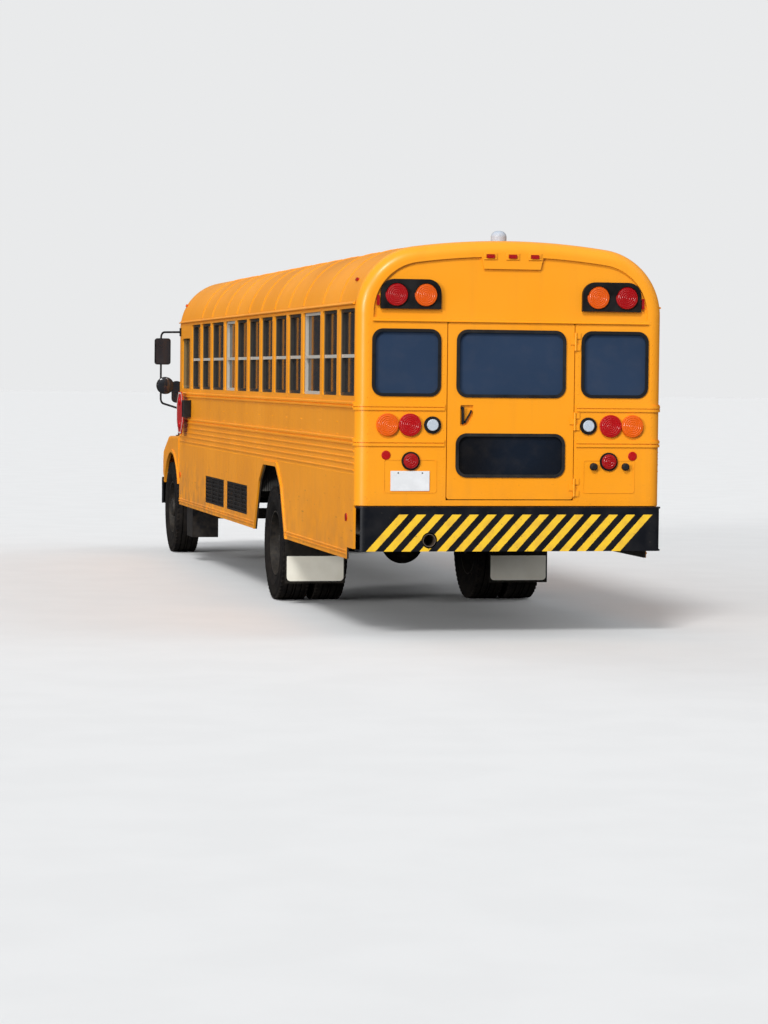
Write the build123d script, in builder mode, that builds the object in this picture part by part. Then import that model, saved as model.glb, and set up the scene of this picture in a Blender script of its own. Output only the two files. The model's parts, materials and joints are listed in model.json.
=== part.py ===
from build123d import *
from math import atan2, cos, degrees, radians, sin, sqrt
import os

# School bus with its engine under a tilting hood, in millimetres.
# +X is the bus's left, -Y its front and +Z up. The origin is on the ground,
# on the centre line, halfway between the bumpers.

os.makedirs("parts", exist_ok=True)

# Overall sizes
BODY_WIDTH = 2438
BODY_LENGTH = 9900
COWL_LENGTH = 430
HOOD_LENGTH = 1290
HOOD_GAP = 20
NOSE_REACH = 125
TAIL_REACH = 65
WHEELBASE = 7010
REAR_OVERHANG = 3880
FIT_GAP = 0.3

# Body shell
ROOF_TOP = 3074
ROOF_CROWN_R = 5500
ROOF_CORNER_R = 520
WALL = 45
SKIRT_T = 20
SKIRT_LOW = 592
SKIRT_LOW_TAIL = 684
TAIL_STEP = 350
SKIRT_TOP = 1245
HEADER_Z = 2600
CAP_SEAM = 2446
CAP_DEPTH = 300
CAP_EDGE_R = 95
FRONT_CAP_R = 150
REAR_LOW = 1022
FLOOR_TOP = 1060
FLOOR_T = 50
SILL_H = 60
SILL_W = 60

# Side window sections, counted from the rear
SECTION_START = 57
SECTION_COUNT = 12
SECTION_PITCH = 711
WIDE_PITCH = 876
WIDE_SECTIONS = (3, 10)
PILLAR = 100
WINDOW_LOW = 1862
WINDOW_TOP = 2540
SASH_BORDER = 26
SASH_T = 24
SASH_RAIL_Z = 2172
GLASS_T = 6
GLASS_RECESS = 20
CAB_WINDOW_GAP = 76
CAB_CORNER_R = 40
CAB_WINDOW_LENGTH = 580
CAB_WINDOW_TOP = 2402

# Rear wall
DOOR_HALF = 505
DOOR_LOW = 1072
DOOR_TOP = 2439
DOOR_GAP = 7
HINGE_OUT = 12
BARREL_R = 9
HINGE_PLATE = 40
HINGE_H = 46
REAR_HINGES = (1165, 1680, 2300)
ENTRY_HINGES = (1640, 2000, 2330)
DOOR_GLASS_HALF = 425
DOOR_GLASS_LOW = 1872
DOOR_GLASS_TOP = 2372
LOW_GLASS_LOW = 1253
LOW_GLASS_TOP = 1571
REAR_WINDOW_IN = 572
REAR_WINDOW_OUT = 1092
REAR_WINDOW_LOW = 1876
REAR_WINDOW_TOP = 2372
WINDOW_CORNER_R = 75
RUBBER_W = 24
RUBBER_T = 10
RAIL_END = 527
RAIL_PROUD = 12

# Lamp middles on the rear wall and the caps, and their radii
TAIL_LAMP_Z = 1645
TAIL_AMBER_X = 979
TAIL_RED_X = 802
BACKUP_X = 623
TAIL_LAMP_R = 88
BACKUP_R = 45
LOW_LAMP_X = 792
LOW_LAMP_Z = 1367
LOW_LAMP_R = 58
REFLECTOR_X = 986
REFLECTOR_Z = 1411
REFLECTOR_R = 36
WARN_RED_X = 918
WARN_AMBER_X = 688
WARN_Z = 2644
WARN_R = 87
MARK_PITCH = 177
MARK_Z = 2950
MARK_W = 64
MARK_H = 30
BEZEL_W = 14
CLEARANCE_X = 1057
CLEARANCE_Z = 2600
CLEARANCE_W = 20
CLEARANCE_H = 80
ROOF_LAMP_Z = 2762
ROOF_LAMP_BACK = 335
ROOF_LAMP_FRONT = 200
ROOF_LAMP_L = 60
ROOF_LAMP_W = 26
SIDE_MARK_Z = 917
SIDE_MARK_R = 31
SIDE_MARK_BACK = 363
SIDE_MARK_FRONT = 60
NOSE_MARK_Z = 2880
NOSE_MARK_R = 20

# Bumpers
BUMPER_LOW = 672
BUMPER_TOP = 1016
BUMPER_HALF = 1216
BUMPER_T = TAIL_REACH + 40
BUMPER_CORNER_R = 60
NOSE_BUMPER_LOW = 520
NOSE_BUMPER_TOP = 820
NOSE_BUMPER_T = 90
NOSE_BUMPER_HALF = 1150
BUMPER_PLATE = 14
BUMPER_FLANGE = 12

# Wheels
TYRE_R = 510
TYRE_W = 280
RIM_R = 290
RIM_T = 12
FRONT_TYRE_X = 1020
KINGPIN_X = 960
OUTER_TYRE_X = 1050
TWIN_PITCH = 320
SPINDLE_R = 45
ARCH_R = 600
STEER_ARM = 170

# Chassis
RAIL_X = 397
RAIL_W = 70
RAIL_LOW = 700
RAIL_H = 250
RAIL_T = 12

# Doors, hood and stop arm
ENTRY_FRONT = 280
ENTRY_LENGTH = 700
ENTRY_LOW = 660
ENTRY_TOP = 2440
LEAF_T = 38
HOOD_T = 22
HOOD_PIVOT_BACK = 60
HOOD_PIVOT_Z = 880
STOP_ARM_BACK = 9000
STOP_ARM_Z = 1600
STOP_SIGN_W = 457
ARM_BOX_LOW = 1560
ARM_BOX_H = 180
ARM_LUG = 25

# Places worked out from the sizes
HALF = BODY_WIDTH / 2
LENGTH = TAIL_REACH + BODY_LENGTH + COWL_LENGTH + HOOD_GAP + HOOD_LENGTH + NOSE_REACH
TAIL_Y = LENGTH / 2
NOSE_Y = -LENGTH / 2
REAR_Y = TAIL_Y - TAIL_REACH
FRONT_Y = REAR_Y - BODY_LENGTH
COWL_Y = FRONT_Y - COWL_LENGTH
HOOD_REAR_Y = COWL_Y - HOOD_GAP
HOOD_NOSE_Y = HOOD_REAR_Y - HOOD_LENGTH
REAR_AXLE_Y = REAR_Y - REAR_OVERHANG
FRONT_AXLE_Y = REAR_AXLE_Y - WHEELBASE
SIDE_REAR_Y = REAR_Y - CAP_EDGE_R
SIDE_FRONT_Y = FRONT_Y + FRONT_CAP_R
SIDE_LENGTH = SIDE_REAR_Y - SIDE_FRONT_Y
CORNER_X = HALF - ROOF_CORNER_R
CROWN_Z = ROOF_TOP - ROOF_CROWN_R
CORNER_Z = CROWN_Z + sqrt((ROOF_CROWN_R - ROOF_CORNER_R) ** 2 - CORNER_X**2)
HUB_Z = TYRE_R
INSIDE = HALF - WALL
STOP_Y = REAR_Y - STOP_ARM_BACK
ENTRY_FRONT_Y = FRONT_Y + ENTRY_FRONT
ENTRY_REAR_Y = ENTRY_FRONT_Y + ENTRY_LENGTH
ENTRY_Y = (ENTRY_FRONT_Y + ENTRY_REAR_Y) / 2
SILL_LOW = FLOOR_TOP - FLOOR_T - SILL_H
RAIL_TOP = RAIL_LOW + RAIL_H


def section_spans():
    """Rear and front edge of each side window, from the rear of the bus forward."""
    spans = []
    rear = REAR_Y - SECTION_START
    for section in range(1, SECTION_COUNT + 1):
        pitch = WIDE_PITCH if section in WIDE_SECTIONS else SECTION_PITCH
        spans.append((rear - PILLAR / 2, rear - pitch + PILLAR / 2))
        rear -= pitch
    return spans, rear


WINDOWS, SECTIONS_END = section_spans()
SILLS = [front - PILLAR / 2 for rear, front in WINDOWS]
CAB_WINDOW_REAR = SECTIONS_END - CAB_WINDOW_GAP
CAB_WINDOW_FRONT = CAB_WINDOW_REAR - CAB_WINDOW_LENGTH


def body_outline(inset, low):
    """Cross-section of the body: straight sides, round roof corners and a crowned roof."""
    half = HALF - inset
    corner = ROOF_CORNER_R - inset
    lean = atan2(CORNER_X, CORNER_Z - CROWN_Z)
    join = (CORNER_X + corner * sin(lean), CORNER_Z + corner * cos(lean))
    middle = radians(45) + lean / 2
    bend = (CORNER_X + corner * sin(middle), CORNER_Z + corner * cos(middle))
    with BuildSketch() as outline:
        with BuildLine():
            Polyline((-half, CORNER_Z), (-half, 0), (half, 0), (half, CORNER_Z))
            ThreePointArc((half, CORNER_Z), bend, join)
            ThreePointArc(join, (0, ROOF_TOP - inset), (-join[0], join[1]))
            ThreePointArc((-join[0], join[1]), (-bend[0], bend[1]), (-half, CORNER_Z))
        make_face()
        with Locations((0, low)):
            Rectangle(2 * BODY_WIDTH, 2 * ROOF_TOP, align=(Align.CENTER, Align.MIN), mode=Mode.INTERSECT)
    return outline.sketch


def box_between(low, high, mode=Mode.ADD):
    """Block between two corners, in the part in work."""
    size = [b - a for a, b in zip(low, high)]
    with Locations(low):
        Box(*size, align=(Align.MIN, Align.MIN, Align.MIN), mode=mode)


def hinge_leaf(axis_x, axis_y, low, high, plate_low, plate_high):
    """One half of a hinge: an upright barrel about an axis, on a plate between two corners in plan."""
    with BuildSketch(Plane.XY.offset(low)) as plan:
        with Locations((axis_x, axis_y)):
            Circle(BARREL_R)
        middle = tuple((a + b) / 2 for a, b in zip(plate_low, plate_high))
        with Locations(middle):
            Rectangle(plate_high[0] - plate_low[0], plate_high[1] - plate_low[1])
    return extrude(plan.sketch, amount=high - low)


def ridge(face_x, z, height, proud):
    """Trapezoid section of a pressed ridge on the left wall."""
    with BuildSketch() as profile:
        with BuildLine():
            Polyline(
                (face_x, z - height / 2),
                (face_x + proud, z - height / 4),
                (face_x + proud, z + height / 4),
                (face_x, z + height / 2),
                close=True,
            )
        make_face()
    return profile.sketch


# Side walls: pressed panels with ridges below the windows
# Ridge columns: height of its middle, its width, how far it stands out
RIDGES = (
    (1806, 26, 14),
    (1778, 26, 14),
    (1531, 26, 12),
    (1496, 26, 12),
    (1440, 16, 7),
    (1390, 16, 7),
    (1342, 16, 7),
    (1290, 16, 7),
)

for side, name in ((1, "left"), (-1, "right")):
    with BuildPart() as side_wall:
        with BuildSketch(Plane.XZ.offset(-SIDE_REAR_Y)):
            add(body_outline(0, SKIRT_TOP))
            add(body_outline(WALL, SKIRT_TOP - 1), mode=Mode.SUBTRACT)
            with Locations((HALF, (SKIRT_TOP + HEADER_Z) / 2)):
                Rectangle(BODY_WIDTH, HEADER_Z - SKIRT_TOP, mode=Mode.INTERSECT)
            for z, height, proud in RIDGES:
                add(ridge(HALF, z, height, proud))
        extrude(amount=SIDE_LENGTH)
        with BuildSketch(Plane.YZ.offset(INSIDE - 60)):
            for rear, front in WINDOWS:
                with Locations(((rear + front) / 2, (WINDOW_LOW + WINDOW_TOP) / 2)):
                    RectangleRounded(rear - front, WINDOW_TOP - WINDOW_LOW, 20)
            if side > 0:
                cab_middle = (CAB_WINDOW_REAR + CAB_WINDOW_FRONT) / 2
                with Locations((cab_middle, (WINDOW_LOW + CAB_WINDOW_TOP) / 2)):
                    RectangleRounded(CAB_WINDOW_LENGTH, CAB_WINDOW_TOP - WINDOW_LOW, CAB_CORNER_R)
            else:
                with Locations((ENTRY_Y, (ENTRY_LOW + ENTRY_TOP) / 2)):
                    Rectangle(ENTRY_LENGTH, ENTRY_TOP - ENTRY_LOW)
        extrude(amount=WALL + 120, mode=Mode.SUBTRACT)
        if side < 0:
            for z in ENTRY_HINGES:
                for low in (z - 1.5 * HINGE_H - FIT_GAP, z + 0.5 * HINGE_H + FIT_GAP):
                    for axis_y, away in ((ENTRY_FRONT_Y, -1), (ENTRY_REAR_Y, 1)):
                        low_y = min(axis_y, axis_y + away * HINGE_PLATE)
                        plate = (HALF - 2, low_y), (HALF + HINGE_OUT - 3, low_y + HINGE_PLATE)
                        add(hinge_leaf(HALF + HINGE_OUT, axis_y, low, low + HINGE_H, *plate))
    if side < 0:
        with BuildPart() as side_wall_right:
            add(mirror(side_wall.part, about=Plane.YZ, mode=Mode.PRIVATE))
        side_wall = side_wall_right
    side_wall.part.label = f"side_wall_{name}"
    export_step(side_wall.part, f"parts/side_wall_{name}.step")

# Lower skirts with the rear wheel arch, and louvred openings on the left
ARCH_TOP = 1207
ARCH_TOP_HALF = 330
ARCH_LOW_HALF = 838
ARCH_KNEE_Z = 1050
ARCH_KNEE_HALF = 560
LIP_W = 40
LIP_PROUD = 12
# Louvre columns: rear end and front end from the rear wall, low edge, top edge
LOUVRES = ((5159, 6398, 700, 975), (6581, 7824, 700, 975))


def arch_outline(grow):
    """Flattened wheel arch about the rear axle, open at the bottom."""
    with BuildSketch() as outline:
        with BuildLine():
            Polyline(
                (REAR_AXLE_Y - ARCH_LOW_HALF - grow, SKIRT_LOW - 50),
                (REAR_AXLE_Y - ARCH_KNEE_HALF - grow, ARCH_KNEE_Z),
                (REAR_AXLE_Y - ARCH_TOP_HALF - grow / 2, ARCH_TOP + grow),
                (REAR_AXLE_Y + ARCH_TOP_HALF + grow / 2, ARCH_TOP + grow),
                (REAR_AXLE_Y + ARCH_KNEE_HALF + grow, ARCH_KNEE_Z),
                (REAR_AXLE_Y + ARCH_LOW_HALF + grow, SKIRT_LOW - 50),
                close=True,
            )
        make_face()
        fillet(outline.vertices().filter_by(lambda v: v.Y > SKIRT_LOW), 120)
    return outline.sketch


for side, name in ((1, "left"), (-1, "right")):
    with BuildPart() as skirt:
        with BuildSketch(Plane.YZ.offset(HALF - SKIRT_T)) as panel:
            with BuildLine():
                Polyline(
                    (SIDE_REAR_Y, SKIRT_TOP),
                    (SIDE_REAR_Y, SKIRT_LOW_TAIL),
                    (REAR_Y - TAIL_STEP, SKIRT_LOW_TAIL),
                    (REAR_Y - TAIL_STEP, SKIRT_LOW),
                    (SIDE_FRONT_Y, SKIRT_LOW),
                    (SIDE_FRONT_Y, SKIRT_TOP),
                    close=True,
                )
            make_face()
            add(arch_outline(0), mode=Mode.SUBTRACT)
            if side > 0:
                for rear, front, low, top in LOUVRES:
                    with Locations((REAR_Y - (rear + front) / 2, (low + top) / 2)):
                        Rectangle(front - rear, top - low, mode=Mode.SUBTRACT)
            else:
                with Locations((ENTRY_Y, (ENTRY_LOW + SKIRT_TOP) / 2 + 50)):
                    Rectangle(ENTRY_LENGTH, SKIRT_TOP - ENTRY_LOW + 100, mode=Mode.SUBTRACT)
        extrude(amount=SKIRT_T)
        with BuildSketch(Plane.YZ.offset(HALF)):
            add(arch_outline(LIP_W))
            add(arch_outline(0), mode=Mode.SUBTRACT)
            with Locations((REAR_AXLE_Y, (SKIRT_LOW + SKIRT_TOP) / 2)):
                Rectangle(3 * ARCH_LOW_HALF, SKIRT_TOP - SKIRT_LOW, mode=Mode.INTERSECT)
        extrude(amount=LIP_PROUD)
        with BuildSketch(Plane.XZ.offset(-(REAR_Y - TAIL_STEP))):
            add(ridge(HALF, SKIRT_LOW + 62, 16, 7))
            add(ridge(HALF, SKIRT_LOW + 38, 16, 7))
        extrude(amount=REAR_Y - TAIL_STEP - SIDE_FRONT_Y)
        with BuildSketch(Plane.YZ.offset(HALF - SKIRT_T)):
            add(arch_outline(0))
        extrude(amount=SKIRT_T + LIP_PROUD + 10, mode=Mode.SUBTRACT)
    if side < 0:
        with BuildPart() as skirt_right:
            add(mirror(skirt.part, about=Plane.YZ, mode=Mode.PRIVATE))
        skirt = skirt_right
    skirt.part.label = f"skirt_{name}"
    export_step(skirt.part, f"parts/skirt_{name}.step")

# Louvres in the left skirt: a frame with sloping slats
SLAT_COUNT = 6
SLAT_T = 8
with BuildPart() as skirt_grilles:
    for rear, front, low, top in LOUVRES:
        length = front - rear - 2 * FIT_GAP
        height = top - low - 2 * FIT_GAP
        middle_y = REAR_Y - (rear + front) / 2
        middle_z = (low + top) / 2
        with BuildSketch(Plane.YZ.offset(HALF - SKIRT_T)):
            with Locations((middle_y, middle_z)):
                Rectangle(length, height)
                with GridLocations(length / 3, 0, 3, 1):
                    Rectangle(length / 3 - 30, height - 40, mode=Mode.SUBTRACT)
        extrude(amount=SKIRT_T - 4)
        pitch = (height - 40) / SLAT_COUNT
        with BuildSketch(Plane.XZ.offset(-(middle_y + length / 2 - 10))):
            with Locations((HALF - SKIRT_T / 2 - 4, middle_z)):
                with GridLocations(0, pitch, 1, SLAT_COUNT):
                    Rectangle(SLAT_T, pitch * 0.7, rotation=-25)
        extrude(amount=length - 20)
skirt_grilles.part.label = "skirt_grilles"
export_step(skirt_grilles.part, "parts/skirt_grilles.step")

# Roof between the caps, with a shallow bow at each body section
BOW_W = 50
BOW_PROUD = 5
FRONT_CAP_DEPTH = 420
ROOF_REAR_Y = REAR_Y - CAP_DEPTH
ROOF_FRONT_Y = FRONT_Y + FRONT_CAP_DEPTH
HATCH_SIZE = 620
HATCH_CURB = 14
HATCH_WALL = 30
HATCH_H = 30
HATCH_HINGE_X = 180
HATCH_HINGE_L = 40
HATCH_HINGE_R = 8
HATCH_HINGE_OUT = HATCH_SIZE / 2 + 36
HATCH_HINGE_Z = ROOF_TOP + HATCH_CURB
# Hatch middles, from the rear wall
HATCHES = (2900, 6900)


def hatch_barrels(middle_y, places, length):
    """Hinge barrels ahead of a hatch, beside the two hinge middles or on them."""
    with BuildPart() as barrels:
        for side in (-1, 1):
            for place in places:
                start = side * HATCH_HINGE_X + place * (length + FIT_GAP) - length / 2
                axis_y = middle_y - HATCH_HINGE_OUT
                with BuildSketch(Plane.YZ.offset(start)):
                    with Locations((axis_y, HATCH_HINGE_Z)):
                        Circle(HATCH_HINGE_R)
                    if place:
                        with Locations((axis_y, HATCH_HINGE_Z - 2 * HATCH_HINGE_R)):
                            Rectangle(2 * HATCH_HINGE_R, 4 * HATCH_HINGE_R)
                    else:
                        with Locations((axis_y + HATCH_HINGE_OUT / 10, HATCH_HINGE_Z + 4)):
                            Rectangle(HATCH_HINGE_OUT / 5, 6)
                extrude(amount=length)
    return barrels.part


with BuildPart() as roof:
    with BuildSketch(Plane.XZ.offset(-ROOF_REAR_Y)):
        add(body_outline(0, HEADER_Z))
        add(body_outline(WALL, HEADER_Z - 1), mode=Mode.SUBTRACT)
    extrude(amount=ROOF_REAR_Y - ROOF_FRONT_Y)
    for rear, front in WINDOWS[:-1]:
        with BuildSketch(Plane.XZ.offset(-(front - PILLAR / 2 + BOW_W / 2))):
            add(body_outline(-BOW_PROUD, HEADER_Z))
            add(body_outline(WALL, HEADER_Z - 1), mode=Mode.SUBTRACT)
        extrude(amount=BOW_W)
    for distance in HATCHES:
        hatch_y = REAR_Y - distance
        with BuildSketch(Plane.XY.offset(ROOF_TOP - WALL)):
            with Locations((0, hatch_y)):
                RectangleRounded(HATCH_SIZE, HATCH_SIZE, 40)
        extrude(amount=WALL + HATCH_CURB)
        add(hatch_barrels(hatch_y, (-1, 1), HATCH_HINGE_L))
    for distance in HATCHES:
        hatch_y = REAR_Y - distance
        with BuildSketch(Plane.XY.offset(ROOF_TOP - 2 * WALL)):
            with Locations((0, hatch_y)):
                RectangleRounded(HATCH_SIZE - 2 * HATCH_WALL, HATCH_SIZE - 2 * HATCH_WALL, 30)
        extrude(amount=4 * WALL, mode=Mode.SUBTRACT)
roof.part.label = "roof"
export_step(roof.part, "parts/roof.step")

# Roof hatch lids, hinged along their front edge
for index, distance in enumerate(HATCHES):
    name = ("rear", "front")[index]
    hatch_y = REAR_Y - distance
    with BuildPart() as hatch_lid:
        with BuildSketch(Plane.XY.offset(ROOF_TOP + HATCH_CURB + FIT_GAP)):
            with Locations((0, hatch_y)):
                RectangleRounded(HATCH_SIZE + 40, HATCH_SIZE + 40, 50)
        extrude(amount=HATCH_H)
        fillet(hatch_lid.faces().sort_by(Axis.Z)[-1].edges(), 18)
        add(hatch_barrels(hatch_y, (0,), HATCH_HINGE_L))
    hatch_lid.part.label = f"hatch_lid_{name}"
    export_step(hatch_lid.part, f"parts/hatch_lid_{name}.step")

DOOR_AXIS_X = -DOOR_HALF - DOOR_GAP

# Rear wall: rounded corner posts, door opening, two windows and pressed rails


def rear_plan(grow):
    """Plan of the body's tail, with rounded rear corners."""
    depth = CAP_EDGE_R
    with BuildSketch() as plan:
        with Locations((0, REAR_Y + grow - (depth + grow) / 2)):
            Rectangle(BODY_WIDTH + 2 * grow, depth + grow)
        fillet(plan.vertices().group_by(Axis.Y)[-1], CAP_EDGE_R + grow - 1)
    return plan.sketch


# Rail columns: low edge, top edge
REAR_RAILS = ((1757, 1778), (1784, 1805), (1481, 1502), (1509, 1530))
# Pressed panels beside the door: inner x, outer x, low edge, top edge
PRESSED = ((585, 1005, 1121, 1382),)
PRESS_PROUD = 4

with BuildPart() as rear_wall:
    with BuildSketch(Plane.XY.offset(REAR_LOW)):
        add(rear_plan(0))
        with Locations((0, SIDE_REAR_Y)):
            Rectangle(2 * INSIDE, 2 * (CAP_EDGE_R - WALL), mode=Mode.SUBTRACT)
    extrude(amount=CAP_SEAM - REAR_LOW)
    for low, top in REAR_RAILS:
        with BuildSketch(Plane.XY.offset(low)):
            add(rear_plan(RAIL_PROUD))
            add(rear_plan(0), mode=Mode.SUBTRACT)
            with Locations((0, REAR_Y)):
                Rectangle(2 * RAIL_END, 3 * CAP_EDGE_R, mode=Mode.SUBTRACT)
        extrude(amount=top - low)
    with BuildSketch(Plane.XZ.offset(-REAR_Y)):
        for inner, outer, low, top in PRESSED:
            for side in (-1, 1):
                with Locations((side * (inner + outer) / 2, (low + top) / 2)):
                    RectangleRounded(outer - inner, top - low, 20)
                    RectangleRounded(outer - inner - 16, top - low - 16, 14, mode=Mode.SUBTRACT)
                with Locations((side * LOW_LAMP_X, LOW_LAMP_Z)):
                    Circle(LOW_LAMP_R + BEZEL_W + 2, mode=Mode.SUBTRACT)
                with Locations((side * REFLECTOR_X, REFLECTOR_Z)):
                    Circle(REFLECTOR_R + 2, mode=Mode.SUBTRACT)
    extrude(amount=-PRESS_PROUD)
    with BuildSketch(Plane.XZ.offset(-(REAR_Y + 60))):
        with Locations((0, (DOOR_LOW + DOOR_TOP) / 2)):
            Rectangle(2 * (DOOR_HALF + DOOR_GAP), DOOR_TOP - DOOR_LOW + 2 * DOOR_GAP)
        for side in (-1, 1):
            window_x = side * (REAR_WINDOW_IN + REAR_WINDOW_OUT) / 2
            with Locations((window_x, (REAR_WINDOW_LOW + REAR_WINDOW_TOP) / 2)):
                RectangleRounded(
                    REAR_WINDOW_OUT - REAR_WINDOW_IN, REAR_WINDOW_TOP - REAR_WINDOW_LOW, WINDOW_CORNER_R
                )
    extrude(amount=60 + 2 * CAP_EDGE_R, mode=Mode.SUBTRACT)
    for z in REAR_HINGES:
        for low in (z - 1.5 * HINGE_H - FIT_GAP, z + 0.5 * HINGE_H + FIT_GAP):
            plate = (DOOR_AXIS_X - HINGE_PLATE, REAR_Y - 2), (DOOR_AXIS_X, REAR_Y + HINGE_OUT - 3)
            add(hinge_leaf(DOOR_AXIS_X, REAR_Y + HINGE_OUT, low, low + HINGE_H, *plate))
rear_wall.part.label = "rear_wall"
export_step(rear_wall.part, "parts/rear_wall.step")

# Rear cap: rounded shell with a recessed face below a brow for the top lamps
RECESS = 22
RECESS_SIDE = 125
RECESS_LOW = CAP_SEAM + 24
RECESS_TOP = 2898
BROW_LOW = 2853
BROW_HALF = 225
BROW_FLARE = 326

with BuildPart() as rear_cap:
    with BuildSketch(Plane.XZ.offset(-REAR_Y)):
        add(body_outline(0, CAP_SEAM))
    extrude(amount=CAP_DEPTH)
    cap_face = rear_cap.faces().sort_by(Axis.Y)[-1]
    fillet(cap_face.edges().sort_by(Axis.Z)[1:], CAP_EDGE_R - 1)
    with BuildSketch(Plane.XZ.offset(-(REAR_Y - WALL - RECESS))):
        add(body_outline(WALL, CAP_SEAM - 1))
    extrude(amount=CAP_DEPTH, mode=Mode.SUBTRACT)
    box_between(
        (-HALF - 1, REAR_Y - CAP_DEPTH - 1, CAP_SEAM - 1), (HALF + 1, SIDE_REAR_Y, HEADER_Z), Mode.SUBTRACT
    )
    with BuildSketch(Plane.XZ.offset(-REAR_Y)):
        add(body_outline(RECESS_SIDE, RECESS_LOW))
        with Locations((0, RECESS_TOP)):
            Rectangle(BODY_WIDTH, 2 * (RECESS_TOP - RECESS_LOW), mode=Mode.INTERSECT)
        with BuildLine():
            Polyline(
                (-BROW_HALF, BROW_LOW),
                (BROW_HALF, BROW_LOW),
                (BROW_FLARE, RECESS_TOP + 400),
                (-BROW_FLARE, RECESS_TOP + 400),
                close=True,
            )
        make_face(mode=Mode.SUBTRACT)
    extrude(amount=RECESS, mode=Mode.SUBTRACT)
rear_cap.part.label = "rear_cap"
export_step(rear_cap.part, "parts/rear_cap.step")

# Front wall with the windscreen opening, above the cowl, and the front cap over it
WINDSCREEN_LOW = 1800
WINDSCREEN_TOP = 2440
WINDSCREEN_HALF = 1060
WINDSCREEN_POST = 20
WINDSCREEN_R = 50
COWL_TOP = 1740
COWL_NOSE_TOP = 1620
COWL_HALF = 1130


def front_plan(grow):
    """Plan of the body's front, with rounded corners."""
    with BuildSketch() as plan:
        with Locations((0, FRONT_Y - grow + (FRONT_CAP_R + grow) / 2)):
            Rectangle(BODY_WIDTH + 2 * grow, FRONT_CAP_R + grow)
        fillet(plan.vertices().group_by(Axis.Y)[0], FRONT_CAP_R + grow - 1)
    return plan.sketch


with BuildPart() as front_wall:
    with BuildSketch(Plane.XY.offset(SKIRT_LOW + 62)):
        add(front_plan(0))
        with Locations((0, SIDE_FRONT_Y)):
            Rectangle(2 * INSIDE, 2 * (FRONT_CAP_R - WALL), mode=Mode.SUBTRACT)
    extrude(amount=CAP_SEAM - SKIRT_LOW - 62)
    with BuildSketch(Plane.XZ.offset(-(FRONT_Y + 2 * FRONT_CAP_R))):
        for side in (-1, 1):
            pane_x = side * (WINDSCREEN_HALF + WINDSCREEN_POST) / 2
            with Locations((pane_x, (WINDSCREEN_LOW + WINDSCREEN_TOP) / 2)):
                RectangleRounded(
                    WINDSCREEN_HALF - WINDSCREEN_POST, WINDSCREEN_TOP - WINDSCREEN_LOW, WINDSCREEN_R
                )
    extrude(amount=3 * FRONT_CAP_R, mode=Mode.SUBTRACT)
    box_between((-1000, FRONT_Y - 10, SKIRT_LOW), (1000, FRONT_Y + WALL + 10, RAIL_TOP + 20), Mode.SUBTRACT)
front_wall.part.label = "front_wall"
export_step(front_wall.part, "parts/front_wall.step")

with BuildPart() as front_cap:
    with BuildSketch(Plane.XZ.offset(-(FRONT_Y + FRONT_CAP_DEPTH))):
        add(body_outline(0, CAP_SEAM))
    extrude(amount=FRONT_CAP_DEPTH)
    cap_face = front_cap.faces().sort_by(Axis.Y)[0]
    fillet(cap_face.edges().sort_by(Axis.Z)[1:], FRONT_CAP_R - 1)
    with BuildSketch(Plane.XZ.offset(-(FRONT_Y + FRONT_CAP_DEPTH))):
        add(body_outline(WALL, CAP_SEAM - 1))
    extrude(amount=FRONT_CAP_DEPTH - WALL - RECESS, mode=Mode.SUBTRACT)
    box_between(
        (-HALF - 1, SIDE_FRONT_Y, CAP_SEAM - 1),
        (HALF + 1, FRONT_Y + FRONT_CAP_DEPTH + 1, HEADER_Z),
        Mode.SUBTRACT,
    )
front_cap.part.label = "front_cap"
export_step(front_cap.part, "parts/front_cap.step")

# Cowl ahead of the front wall: shell with side panels, open to the engine
COWL_T = 25
COWL_LOW = 653
SHOULDER_LOW = 1040
OPENING_HALF = 840
OPENING_TOP = 1530
with BuildPart() as cowl:
    with BuildSketch(Plane.YZ.offset(-COWL_HALF)) as cowl_side:
        with BuildLine():
            Polyline(
                (FRONT_Y - FIT_GAP, COWL_LOW),
                (FRONT_Y - FIT_GAP, COWL_TOP),
                (COWL_Y, COWL_NOSE_TOP),
                (COWL_Y, COWL_LOW),
                close=True,
            )
        make_face()
    extrude(amount=2 * COWL_HALF)
    top_edges = cowl.edges().filter_by(lambda e: e.center().Z > COWL_NOSE_TOP - 1)
    fillet(top_edges.filter_by(lambda e: abs(e.center().X) > COWL_HALF - 1), 60)
    with BuildSketch(Plane.YZ.offset(-COWL_HALF + COWL_T)):
        with BuildLine():
            Polyline(
                (FRONT_Y + 10, COWL_LOW - 10),
                (FRONT_Y + 10, COWL_TOP - COWL_T),
                (COWL_Y - 10, COWL_NOSE_TOP - COWL_T),
                (COWL_Y - 10, COWL_LOW - 10),
                close=True,
            )
        make_face()
    extrude(amount=2 * (COWL_HALF - COWL_T), mode=Mode.SUBTRACT)
    with BuildSketch(Plane.XZ.offset(-(COWL_Y + COWL_T))):
        with Locations((0, (SHOULDER_LOW + COWL_NOSE_TOP) / 2)):
            Rectangle(2 * (COWL_HALF - COWL_T) + 2, COWL_NOSE_TOP - SHOULDER_LOW)
        with Locations((0, SHOULDER_LOW)):
            Rectangle(2 * OPENING_HALF, 2 * (OPENING_TOP - SHOULDER_LOW), mode=Mode.SUBTRACT)
    extrude(amount=COWL_T)
    with BuildSketch(Plane.YZ.offset(-COWL_HALF)):
        with BuildLine():
            Polyline(
                (FRONT_Y, COWL_TOP),
                (COWL_Y, COWL_NOSE_TOP),
                (COWL_Y - 10, COWL_NOSE_TOP),
                (COWL_Y - 10, COWL_TOP),
                close=True,
            )
        make_face()
    extrude(amount=2 * COWL_HALF, mode=Mode.SUBTRACT)
cowl.part.label = "cowl"
export_step(cowl.part, "parts/cowl.step")

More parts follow.
